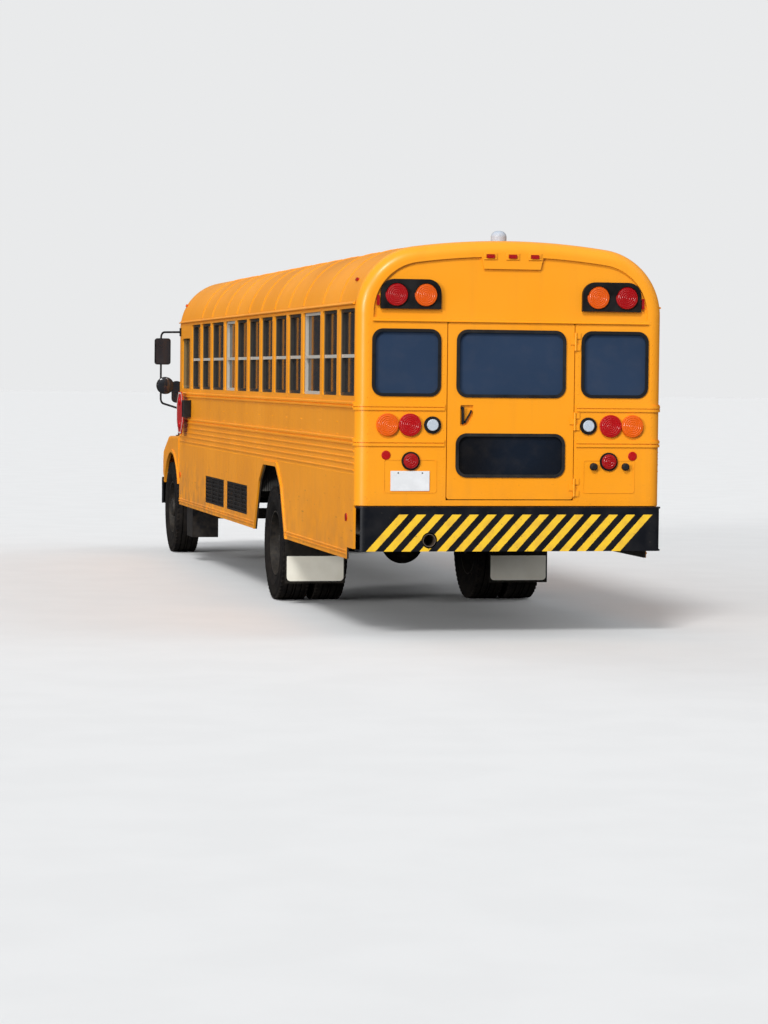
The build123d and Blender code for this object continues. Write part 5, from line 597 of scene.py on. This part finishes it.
def line_mesh(lines):
    """Mesh of open lines. Each line lists (point, facing), and the facing is kept for what stands on it."""
    mesh = bpy.data.meshes.new("lines")
    points, facings, edges = [], [], []
    for line in lines:
        first = len(points)
        points += [point for point, facing in line]
        facings += [facing for point, facing in line]
        edges += [(first + i, first + i + 1) for i in range(len(line) - 1)]
    mesh.from_pydata(points, edges, [])
    kept = mesh.attributes.new("facing", "FLOAT_VECTOR", "POINT")
    kept.data.foreach_set("vector", [number for facing in facings for number in facing])
    return mesh


def copies(shape, finish, **values):
    """Mesh of repeated copies of one shape."""
    base = gathered([shape]) if isinstance(shape, bmesh.types.BMesh) else shape
    values = {key.replace("_", " ").title(): value for key, value in values.items()}
    return grown(COPIES, base, {"Finish": finishes[finish], **values})


def tubes(paths, radius, finish, bend=0.02, sides=10):
    """Mesh of round tubes along paths of points."""
    base = line_mesh([[(point, (0, 0, 1)) for point in path] for path in paths])
    return grown(TUBES, base, {
        "Radius": radius, "Sides": sides, "Bend Radius": bend, "Finish": finishes[finish],
    })


def joined(*meshes):
    """One mesh from several."""
    whole = bmesh.new()
    for mesh in meshes:
        whole.from_mesh(mesh)
    made = bpy.data.meshes.new("joined")
    whole.to_mesh(made)
    whole.free()
    return made


# Wheels: ribbed treads, side walls with rings, and nuts round the hubs
TYRE_SECTION = (
    (0.292, 0.106), (0.312, 0.122), (0.345, 0.134), (0.368, 0.1375), (0.372, 0.1395), (0.380, 0.1395),
    (0.384, 0.1385), (0.420, 0.1385), (0.450, 0.1360), (0.462, 0.1375), (0.470, 0.1340), (0.490, 0.1240),
    (0.502, 0.1130), (0.508, 0.1040), (0.509, 0.0700), (0.497, 0.0670), (0.497, 0.0570), (0.5095, 0.0540),
    (0.5098, 0.0200), (0.497, 0.0170), (0.497, 0.0070), (0.510, 0.0045),
)
TREAD_BLOCKS = 58
NUTS = 10
NUT_CIRCLE_R = 0.143
NUT_R = 0.017
FLANGE_BOLTS = 8
BOLT_CIRCLE_R = 0.078
BOLT_R = 0.008
HEXAGON = [math.pi * k / 3 for k in range(6)]
WHEELS = (
    ("wheel_front_left", "front_left", FRONT_AXLE_Y, (1.02,), 1),
    ("wheel_front_right", "front_right", FRONT_AXLE_Y, (-1.02,), -1),
    ("wheels_rear_left", "rear_left", REAR_AXLE_Y, (1.05, 0.73), 1),
    ("wheels_rear_right", "rear_right", REAR_AXLE_Y, (-1.05, -0.73), -1),
)

for body, name, axle_y, middles, side in WHEELS:
    skins, blocks = [], []
    for middle in middles:
        section = [(r, far) for r, far in TYRE_SECTION] + [(r, -far) for r, far in reversed(TYRE_SECTION)]
        skins.append(turned(section, (middle, axle_y, HUB_Z), (1, 0, 0), 80))
        for edge in (-1, 1):
            corner = middle + edge * 0.1
            low = (min(corner, corner + edge * 0.029), axle_y - 0.016, HUB_Z + 0.478)
            high = (max(corner, corner + edge * 0.029), axle_y + 0.016, HUB_Z + 0.5085)
            blocks.append(rounded_block(low, high, 0.004, 1))
    ring = copies(gathered(blocks), "tyre_rubber", count=TREAD_BLOCKS, centre=(0, axle_y, HUB_Z),
                  turn=(2 * math.pi / TREAD_BLOCKS, 0, 0))
    tyre = keep(f"tyre_tread_{name}", joined(gathered(skins), ring), "tyre_rubber", body)
    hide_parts(f"tyre_{name}")
    dish_x = 1.06 if len(middles) == 1 else 0.94
    nut_x = side * (dish_x + 0.009)
    nut = prism([(nut_x, axle_y + NUT_CIRCLE_R + NUT_R * math.cos(a), HUB_Z + NUT_R * math.sin(a))
                 for a in HEXAGON], (side * 0.022, 0, 0))
    nuts = copies(nut, "bright_steel", count=NUTS, centre=(0, axle_y, HUB_Z), turn=(2 * math.pi / NUTS, 0, 0))
    keep(f"wheel_nuts_{name}", nuts, "bright_steel", body)
    cap_x = side * (1.13 if len(middles) == 1 else 1.11)
    cap = turned([(0.0, -side * 0.02), (0.098, -side * 0.02), (0.098, side * 0.0), (0.088, side * 0.012),
                  (0.060, side * 0.020), (0.0, side * 0.024)], (cap_x, axle_y, HUB_Z), (1, 0, 0), 40)
    flange_bolt = prism([(cap_x - side * 0.001, axle_y + BOLT_CIRCLE_R + BOLT_R * math.cos(a),
                          HUB_Z + BOLT_R * math.sin(a)) for a in HEXAGON], (side * 0.022, 0, 0))
    bolts = copies(flange_bolt, "bright_steel", count=FLANGE_BOLTS, centre=(0, axle_y, HUB_Z),
                   turn=(2 * math.pi / FLANGE_BOLTS, 0, 0))
    keep(f"hub_cap_{name}", joined(gathered([cap]), bolts), "rim_paint", body)


# Rivets along the roof bows, the window posts, the rub rails and the tail's seams

def roof_point(share, out=0.0):
    """Point and facing on the roof's outline; the share runs from the left eave, 0, to the right one, 1."""
    lean = math.atan2(CORNER_X, CORNER_Z - (ROOF_TOP - CROWN_R))
    corner_length = CORNER_R * (math.pi / 2 - lean)
    crown_length = CROWN_R * lean
    far = share * 2 * (corner_length + crown_length)
    mirror = 1
    if far > corner_length + crown_length:
        far = 2 * (corner_length + crown_length) - far
        mirror = -1
    if far < corner_length:
        angle = far / CORNER_R
        facing = Vector((math.cos(angle), 0, math.sin(angle)))
        point = Vector((CORNER_X, 0, CORNER_Z)) + facing * (CORNER_R + out)
    else:
        angle = lean - (far - corner_length) / CROWN_R
        facing = Vector((math.sin(angle), 0, math.cos(angle)))
        point = Vector((0, 0, ROOF_TOP - CROWN_R)) + facing * (CROWN_R + out)
    return Vector((point.x * mirror, point.y, point.z)), Vector((facing.x * mirror, facing.y, facing.z))


def roof_line(y, out=0.0, steps=40, first=0.0, last=1.0):
    """Line over the roof at one place along the bus."""
    line = []
    for step in range(steps + 1):
        point, facing = roof_point(first + (last - first) * step / steps, out)
        line.append(((point.x, y, point.z), tuple(facing)))
    return line


bow_lines, wall_lines, tail_lines = [], [], []
for section in range(1, SECTION_COUNT):
    bow_y = window_span(section)[1] - PILLAR / 2
    for shift in (-0.016, 0.016):
        bow_lines.append(roof_line(bow_y + shift, 0.005))
for end_y in (REAR_Y - 0.285, FRONT_Y + 0.405):
    bow_lines.append(roof_line(end_y, 0.0))
for section in range(1, SECTION_COUNT + 1):
    post_y = window_span(section)[1] - PILLAR / 2
    for side in (-1, 1):
        out = (side, 0, 0)
        if side < 0 and post_y < FRONT_Y + 1.05:
            continue
        for shift in (-0.02, 0.02):
            line_y = post_y + shift
            wall_lines.append([((side * HALF, line_y, 1.84), out), ((side * HALF, line_y, 1.56), out)])
        wall_lines.append([((side * HALF, post_y, 1.46), out), ((side * HALF, post_y, 1.255), out)])
        wall_lines.append([((side * HALF, post_y, 2.55), out), ((side * HALF, post_y, 2.59), out)])
for side in (-1, 1):
    out = (side, 0, 0)
    start_y = FRONT_Y + 0.17 if side > 0 else FRONT_Y + 1.0
    rail_x = side * (HALF + 0.0005)
    for z in (1.792, 1.5135):
        wall_lines.append([((rail_x, REAR_Y - 0.1, z), out), ((rail_x, start_y, z), out)])
    wall_lines.append([((side * HALF, REAR_Y - 0.1, 1.258), out), ((side * HALF, start_y, 1.258), out)])
for side in (-1, 1):
    for z in (1.781, 1.505, 1.062, 1.838):
        tail_lines.append([((side * 0.545, REAR_Y, z), BACKWARD), ((side * 1.11, REAR_Y, z), BACKWARD)])
    tail_lines.append([((side * 0.536, REAR_Y, 1.10), BACKWARD), ((side * 0.536, REAR_Y, 2.40), BACKWARD)])
    tail_lines.append([((side * 1.135, REAR_Y, 1.08), BACKWARD), ((side * 1.135, REAR_Y, 2.42), BACKWARD)])
    tail_lines.append([((side * 0.06, REAR_Y, 2.462), BACKWARD), ((side * 1.12, REAR_Y, 2.462), BACKWARD)])
for name, lines, pitch, radius, height in (
    ("roof_rivets", bow_lines, 0.055, 0.0055, 0.0026),
    ("wall_rivets", wall_lines, 0.075, 0.0055, 0.0026),
    ("tail_rivets", tail_lines, 0.07, 0.005, 0.0024),
):
    heads = grown(RIVETS, line_mesh(lines), {
        "Pitch": pitch, "Head Radius": radius, "Head Height": height, "Finish": finishes["yellow_paint"],
    })
    keep(name, heads, "yellow_paint")

# Drip rails over the side windows and over the rear windows
DRIP_SECTION = ((0.0, 0.0), (0.016, -0.004), (0.020, 0.004), (0.016, 0.008), (0.006, 0.012), (0.0, 0.022))
drips = []
for side in (-1, 1):
    outline = [(side * (HALF - 0.001 + far), REAR_Y - 0.11, 2.572 + up) for far, up in DRIP_SECTION]
    drips.append(prism(outline, (0, FRONT_Y + 0.16 - REAR_Y + 0.11, 0)))
tail_drip = [(1.10, REAR_Y - 0.001 + far, 2.440 + up * 0.6) for far, up in DRIP_SECTION]
drips.append(prism(tail_drip, (-2.20, 0, 0)))
keep("drip_rails", gathered(drips), "yellow_paint")

# Dark panels behind the louvers of the left skirt, as painted shade in the space behind them
shade_panels = [rounded_block((1.190, low_y, 0.690), (1.1953, high_y, 0.955), 0.001, 1)
           for low_y, high_y in ((-1.985, -0.720), (-0.559, 0.702))]
keep("louver_shade_panels", gathered(shade_panels), "black_rubber")

# Rear: blank plate, mud flap panels, rubber stops and lamp details
plate_shapes = [rounded_block((0.642, REAR_Y + 0.0044, 1.136), (0.949, REAR_Y + 0.007, 1.290), 0.001, 1)]
keep("blank_plate", gathered(plate_shapes), "plate")
SCREW_HEAD = [(0.0, 0.0), (0.006, 0.0), (0.005, 0.003), (0.0, 0.004)]
plate_screws = [turned(SCREW_HEAD, (x, REAR_Y + 0.007, 1.275), BACKWARD, 12) for x in (0.70, 0.89)]
keep("plate_screws", gathered(plate_screws), "bright_steel")


def round_bottomed(low, high, radius, y):
    """Upright rectangle in one plane across the bus, with its two lower corners rounded."""
    outline = [(low[0], y, high[1])]
    for middle_x, start in ((low[0] + radius, 180), (high[0] - radius, 270)):
        for step in range(7):
            angle = math.radians(start + 15 * step)
            outline.append((middle_x + radius * math.cos(angle), y,
                            low[1] + radius + radius * math.sin(angle)))
    return outline + [(high[0], y, high[1])]


# White panels only on the lower part of the flaps; the flap above them stays black as painted shadow of the
# body
PANEL_X = 0.922
PANEL_HALF = 0.254
PANEL_Z = (0.21, 0.43)
flap_panels = []
for side in (-1, 1):
    middle_x = side * PANEL_X
    outline = round_bottomed((middle_x - PANEL_HALF, PANEL_Z[0]), (middle_x + PANEL_HALF, PANEL_Z[1]),
                             0.035, FLAP_Y + 0.0003)
    flap_panels.append(prism(outline, (0, 0.003, 0)))
keep("mud_flap_panels", gathered(flap_panels), "flap_panel")
STOP_SHAPE = [(0.0, 0.0), (0.030, 0.0), (0.028, 0.030), (0.018, 0.040), (0.0, 0.040)]
stops = [turned(STOP_SHAPE, (x, REAR_Y, 1.328), BACKWARD, 28) for x in (-0.670, -0.928)]
keep("door_stops", gathered(stops), "black_rubber")


def lens_rings(x, z, back, radius, way):
    """Raised rings moulded in the face of a lamp."""
    profile = [(0.0, 0.0)]
    count = max(2, int(radius / 0.014))
    for ring in range(count):
        start = radius * 0.9 * ring / count
        width = radius * 0.9 / count
        profile += [(start + width * share, high)
                    for share, high in ((0.15, 0.0004), (0.35, 0.0024), (0.65, 0.0024), (0.85, 0.0004))]
    profile += [(radius * 0.9, -0.001), (0.0, -0.001)]
    return turned([(r, way * far) for r, far in profile], (x, back, z), BACKWARD, 48)


POD_FACE = REAR_Y - 0.022 + 0.0003 + 0.034 + 0.0003 + 0.018
NOSE_POD_FACE = FRONT_Y - 0.0003 - 0.034 - 0.0003 - 0.018
WARNING_X = (0.918, 0.688)
WARNING_Z = 2.644
TAIL_LAMP_FACE = REAR_Y + 0.0263
RED_RINGS = (
    (0.802, 1.645, TAIL_LAMP_FACE, 0.083, 1), (0.792, 1.367, REAR_Y + 0.0306, 0.053, 1),
    (WARNING_X[0], WARNING_Z, POD_FACE, 0.082, 1), (WARNING_X[0], WARNING_Z, NOSE_POD_FACE, 0.082, -1),
)
AMBER_RINGS = (
    (0.979, 1.645, TAIL_LAMP_FACE, 0.083, 1),
    (WARNING_X[1], WARNING_Z, POD_FACE, 0.082, 1), (WARNING_X[1], WARNING_Z, NOSE_POD_FACE, 0.082, -1),
)
for colour, table in (("red", RED_RINGS), ("amber", AMBER_RINGS)):
    rings = [lens_rings(side * x, z, back, radius, way)
             for x, z, back, radius, way in table for side in (-1, 1)]
    keep(f"{colour}_lens_rings", gathered(rings), f"{colour}_lens", smooth_below=30)

# Frames round the three lamps on the brow
BROW_X = (-0.177, 0.0, 0.177)
BROW_Z = 2.950
FRAME_HALF_X = (0.0325, 0.052)
FRAME_HALF_Z = (0.0155, 0.025)
frame_back = REAR_Y + 0.0002
frames = []
for x in BROW_X:
    for up in (-1, 1):
        low_z, high_z = sorted(BROW_Z + up * half for half in FRAME_HALF_Z)
        frames.append(rounded_block((x - FRAME_HALF_X[1], frame_back, low_z),
                                    (x + FRAME_HALF_X[1], REAR_Y + 0.010, high_z), 0.002, 2))
    for across in (-1, 1):
        low_x, high_x = sorted(x + across * half for half in FRAME_HALF_X)
        frames.append(rounded_block((low_x, frame_back, BROW_Z - 0.020),
                                    (high_x, REAR_Y + 0.009, BROW_Z + 0.020), 0.002, 2))
keep("brow_lamp_frames", gathered(frames), "yellow_paint")

# Visors over the warning lamps
VISOR_R = (0.0925, 0.0895)
VISOR_ARC = [math.radians(12 + 156 * k / 16) for k in range(17)]
visors = []
for way, face in ((1, POD_FACE), (-1, NOSE_POD_FACE)):
    for x in WARNING_X:
        for side in (-1, 1):
            outline = [(side * x + radius * math.cos(a), face - way * 0.018, WARNING_Z + radius * math.sin(a))
                       for radius, arc in zip(VISOR_R, (VISOR_ARC, VISOR_ARC[::-1])) for a in arc]
            visors.append(prism(outline, (0, way * 0.024, 0)))
keep("lamp_visors", gathered(visors), "black_plastic")

# Rear door: bosses at the ends of the handle's bar and of its link, in their pocket
handle_bosses = [turned([(0.0, 0.0), (radius, 0.0), (radius, 0.010), (radius * 0.7, 0.014), (0.0, 0.014)],
                        (x, REAR_Y - 0.0195, z), BACKWARD, 20)
                 for x, z, radius in ((0.382, 1.776, 0.013), (0.362, 1.670, 0.009), (0.314, 1.754, 0.008))]
keep("rear_door_handle", gathered(handle_bosses), "black_plastic", "rear_door")

# Front: wipers, hood latches and headlamp rims
wiper_paths = []
for side in (-1, 1):
    pivot = (side * 0.12, FRONT_Y - 0.012, 1.775)
    tip = (side * 0.62, FRONT_Y - 0.012, 2.02)
    wiper_paths.append([pivot, (side * 0.20, FRONT_Y - 0.020, 1.80), tip])
    wiper_paths.append([(side * 0.30, FRONT_Y - 0.014, 2.02), tip, (side * 0.94, FRONT_Y - 0.014, 2.02)])
keep("wipers", tubes(wiper_paths, 0.006, "black_plastic", 0.02, 8), "black_plastic")
latches = []
for side in (-1, 1):
    latches.append(rounded_block((side * 1.13 - 0.012, HOOD_REAR_Y - 0.07, 1.18),
                                 (side * 1.13 + 0.012, HOOD_REAR_Y, 1.23), 0.006, 2))
keep("hood_latches", gathered(latches), "black_rubber", "hood")
rims = []
for side in (-1, 1):
    for lamp_x in (0.745, 0.90):
        rims.append(turned([(0.066, 0.0), (0.073, 0.0), (0.075, -0.006), (0.070, -0.010), (0.062, -0.004)],
                           (side * lamp_x, HOOD_NOSE_Y + 0.004, 1.0), BACKWARD, 40))
keep("headlamp_rims", gathered(rims), "bright_steel", "hood")

# Mirror faces, looking back along the bus, near black as a painted dark reflection
faces = []
for side in (-1, 1):
    middle_x = side * 1.38
    faces.append(rounded_block((middle_x - 0.076, FRONT_Y - 0.0800, 2.130),
                               (middle_x + 0.076, FRONT_Y - 0.0788, 2.400), 0.0005, 1))
    faces.append(turned([(0.0, 0.0), (0.088, 0.0), (0.070, 0.008), (0.040, 0.014), (0.0, 0.017)],
                        (side * 1.35, FRONT_Y - 0.080, 1.890), BACKWARD, 36))
keep("mirror_faces", gathered(faces), "mirror_silver")
cross_faces = []
for side in (-1, 1):
    middle_x, face_y, middle_z = side * 1.043, FRONT_AXLE_Y - 0.41 + 0.0303, 1.813
    turns = [math.pi * (k + 0.5) / 14 for k in range(28)]
    oval = [(middle_x + 0.046 * math.cos(a), face_y,
             middle_z + math.copysign(0.07, math.sin(a)) + 0.046 * math.sin(a)) for a in turns]
    cross_faces.append(prism(oval, (0, 0.002, 0)))
keep("crossover_mirror_faces", gathered(cross_faces), "mirror_silver", "hood")

# Stop arm: pale border and two blank lamps on the octagon
STOP_X = HALF + 0.058
STOP_Y = REAR_Y - 9.0 - 0.045 - 0.2285
STOP_Z = 1.60
BORDER_OUT = 0.238
BORDER_IN = 0.222
border = []
for index in range(8):
    first, second = (math.pi / 8 + math.pi / 4 * k for k in (index, index + 1))
    ends = ((BORDER_OUT, first), (BORDER_OUT, second), (BORDER_IN, second), (BORDER_IN, first))
    outline = [(STOP_X + 0.0121, STOP_Y + r * math.cos(a), STOP_Z + r * math.sin(a)) for r, a in ends]
    border.append(prism(outline, (0.0012, 0, 0)))
keep("stop_arm_border", gathered(border), "pale_reflective", "stop_arm")
stop_lamps = [turned([(0.0, 0.0), (0.045, 0.0), (0.043, 0.012), (0.030, 0.018), (0.0, 0.020)],
                     (STOP_X + 0.012, STOP_Y, STOP_Z + up), (1, 0, 0), 32) for up in (-0.125, 0.125)]
keep("stop_arm_lamps", gathered(stop_lamps), "red_lens", "stop_arm")


# Seats: padded cushions and backs in every row
SWELL_FRAMES = 14


def pillow(low, high, swell, cap):
    """Stuffed pad inside a box: a cushion that pressure has swelled, made in a short cloth simulation."""
    inset = 0.012
    shape = rounded_block([a + inset for a in low], [b - inset for b in high], 0.022, 3)
    mesh = gathered([shape])
    pad = bpy.data.objects.new("pad", mesh)
    bpy.context.scene.collection.objects.link(pad)
    remesh = pad.modifiers.new("even", "REMESH")
    remesh.mode = "VOXEL"
    remesh.voxel_size = 0.022
    bpy.context.view_layer.update()
    even = bpy.data.meshes.new_from_object(pad.evaluated_get(bpy.context.evaluated_depsgraph_get()))
    pad.modifiers.remove(remesh)
    pad.data = even
    before = [v.co.copy() for v in even.vertices]
    cloth = pad.modifiers.new("swell", "CLOTH")
    cloth.settings.quality = 5
    cloth.settings.use_pressure = True
    cloth.settings.uniform_pressure_force = swell
    cloth.settings.effector_weights.gravity = 0
    scene = bpy.context.scene
    for step in range(1, SWELL_FRAMES + 1):
        scene.frame_set(step)
    swelled = bpy.data.meshes.new_from_object(pad.evaluated_get(bpy.context.evaluated_depsgraph_get()))
    pad.modifiers.remove(cloth)
    scene.frame_set(1)
    for vertex, start in zip(swelled.vertices, before):
        move = vertex.co - start
        if move.length > cap:
            vertex.co = start + move.normalized() * cap
        vertex.co = [min(max(c, a + 0.001), b - 0.001) for c, a, b in zip(vertex.co, low, high)]
    bpy.data.objects.remove(pad)
    return swelled


SEAT_ROWS = 12
SEAT_PITCH = 0.7
FIRST_SEAT_Y = REAR_Y - 0.42
SEAT_X = (0.17, 1.13)
SEAT_Z = 1.4
for side, side_name, rows in ((1, "left", SEAT_ROWS), (-1, "right", SEAT_ROWS)):
    while side < 0 and FIRST_SEAT_Y - (rows - 1) * SEAT_PITCH - 0.48 < FRONT_Y + 1.08:
        rows -= 1
    low_x, high_x = sorted((side * SEAT_X[0], side * SEAT_X[1]))
    for part, low, high in (
        ("pad", (low_x, FIRST_SEAT_Y - 0.4, SEAT_Z), (high_x, FIRST_SEAT_Y, SEAT_Z + 0.1)),
        ("back", (low_x, FIRST_SEAT_Y + 0.0003, SEAT_Z), (high_x, FIRST_SEAT_Y + 0.08, 2.02)),
    ):
        one = pillow(low, high, 4.0, 0.011)
        row = copies(one, "seat_vinyl", count=rows, move=(0, -SEAT_PITCH, 0))
        bench = keep(f"seat_{part}s_{side_name}", row, "seat_vinyl", smooth_below=80)
        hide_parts("seat_cushions")
DRIVER_X = 0.62
DRIVER_Y = FRONT_Y + 0.76
driver_pads = [
    pillow((DRIVER_X - 0.24, DRIVER_Y, 1.381), (DRIVER_X + 0.24, DRIVER_Y + 0.46, 1.481), 4.0, 0.010),
    pillow((DRIVER_X - 0.23, DRIVER_Y + 0.4, 1.475), (DRIVER_X + 0.23, DRIVER_Y + 0.5, 2.079), 4.0, 0.010),
]
driver_base = gathered([rounded_block((DRIVER_X - 0.13, DRIVER_Y + 0.06, 1.0605),
                                      (DRIVER_X + 0.13, DRIVER_Y + 0.34, 1.385), 0.02, 3)])
driver_seat = keep("driver_seat_padding", joined(*driver_pads, driver_base), "seat_vinyl", smooth_below=80)
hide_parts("driver_seat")

# Floor and light of the studio
floor_mesh = bpy.data.meshes.new("studio_floor")
FLOOR_R = 300.0
floor_mesh.from_pydata([(FLOOR_R * math.cos(a), FLOOR_R * math.sin(a), 0)
                        for a in (math.pi * k / 48 for k in range(96))], [], [tuple(range(96))])
studio_floor = bpy.data.objects.new("studio_floor", floor_mesh)
bpy.context.scene.collection.objects.link(studio_floor)
ground, ground_tree, ground_shader, ground_place = start_finish("pale_floor", 1.0, gloss=0.0)
speckle = noise(ground_tree, ground_place, 1.5, 6.0)
pale_ground = mixed(ground_tree, graded(ground_tree, speckle, 0.4, 0.6), rgb(0.715, 0.715, 0.71),
                    rgb(0.73, 0.73, 0.725))
ground_path = node(ground_tree, "ShaderNodeLightPath")
ground_seen = calc(ground_tree, "MAXIMUM", ground_path.outputs["Is Camera Ray"],
                   ground_path.outputs["Is Transmission Ray"])
ground_colour = mixed(ground_tree, ground_seen, rgb(0.26, 0.26, 0.26), pale_ground)
ground_colour = mixed(ground_tree, ground_path.outputs["Is Glossy Ray"], ground_colour, rgb(0.07, 0.07, 0.07))
ground_tree.links.new(ground_colour, ground_shader.inputs["Base Color"])
floor_mesh.materials.append(ground)

world = bpy.data.worlds.new("studio")
bpy.context.scene.world = world
world.use_nodes = True
sky = world.node_tree
sky.nodes.clear()
light_path = node(sky, "ShaderNodeLightPath")
seen = calc(sky, "MAXIMUM", light_path.outputs["Is Camera Ray"], light_path.outputs["Is Transmission Ray"])
way_out = node(sky, "ShaderNodeTexCoord").outputs["Generated"]
upward = node(sky, "ShaderNodeSeparateXYZ", {0: way_out}).outputs[2]
mirrored = graded(sky, upward, 0.15, 0.75, 0.06, 0.55)
strength = graded(sky, light_path.outputs["Is Glossy Ray"], 0.0, 1.0, 0.46, mirrored)
soft = node(sky, "ShaderNodeBackground", {"Color": rgb(0.92, 0.95, 1.0), "Strength": strength})
shown = node(sky, "ShaderNodeBackground", {"Color": rgb(0.922, 0.930, 0.938), "Strength": 0.885})
both = node(sky, "ShaderNodeMixShader", {0: seen, 1: soft.outputs[0], 2: shown.outputs[0]})
node(sky, "ShaderNodeOutputWorld", {0: both.outputs[0]})

# Soft suns: two behind the bus and to its left, and weak ones for its front and its right
SUNS = (
    ("behind", (6.0, 12.5, 12.0), 1.9, 14.0, True),
    ("low_behind", (13.0, 11.0, 3.6), 1.85, 18.0, True),
    ("ahead", (5.0, -14.0, 8.0), 0.75, 40.0, False),
    ("far_side", (-14.0, 2.0, 9.0), 0.55, 40.0, False),
)
for name, place, strength, spread, mirrored_in_paint in SUNS:
    sun = bpy.data.lights.new(name, "SUN")
    sun.energy = strength
    sun.angle = math.radians(spread)
    holder = bpy.data.objects.new(name, sun)
    holder.location = place
    holder.rotation_euler = (-Vector(place)).to_track_quat("-Z", "Y").to_euler()
    holder.visible_glossy = mirrored_in_paint
    bpy.context.scene.collection.objects.link(holder)

# Camera where the photographer stood, behind the bus and to its left
EYE = Vector((5.618, 27.544, 2.015))
YAW, PITCH, ROLL = (math.radians(angle) for angle in (12.026, -2.688, 0.599))
SENSOR = 36.0
FOCAL_SHARE = 2887.0 / 1024.0
look = Vector((-math.sin(YAW) * math.cos(PITCH), -math.cos(YAW) * math.cos(PITCH), math.sin(PITCH)))
level = look.cross(Vector((0, 0, 1))).normalized()
upward = level.cross(look)
across = math.cos(ROLL) * level + math.sin(ROLL) * upward
up = math.cos(ROLL) * upward - math.sin(ROLL) * level
eye_data = bpy.data.cameras.new("photographer")
eye_data.sensor_width = SENSOR
eye_data.lens = SENSOR * FOCAL_SHARE
eye_data.clip_end = 400.0
eye = bpy.data.objects.new("photographer", eye_data)
eye.matrix_world = Matrix.Translation(EYE) @ Matrix((across, up, -look)).transposed().to_4x4()
bpy.context.scene.collection.objects.link(eye)
bpy.context.scene.camera = eye
bpy.context.scene.view_settings.view_transform = "Standard"
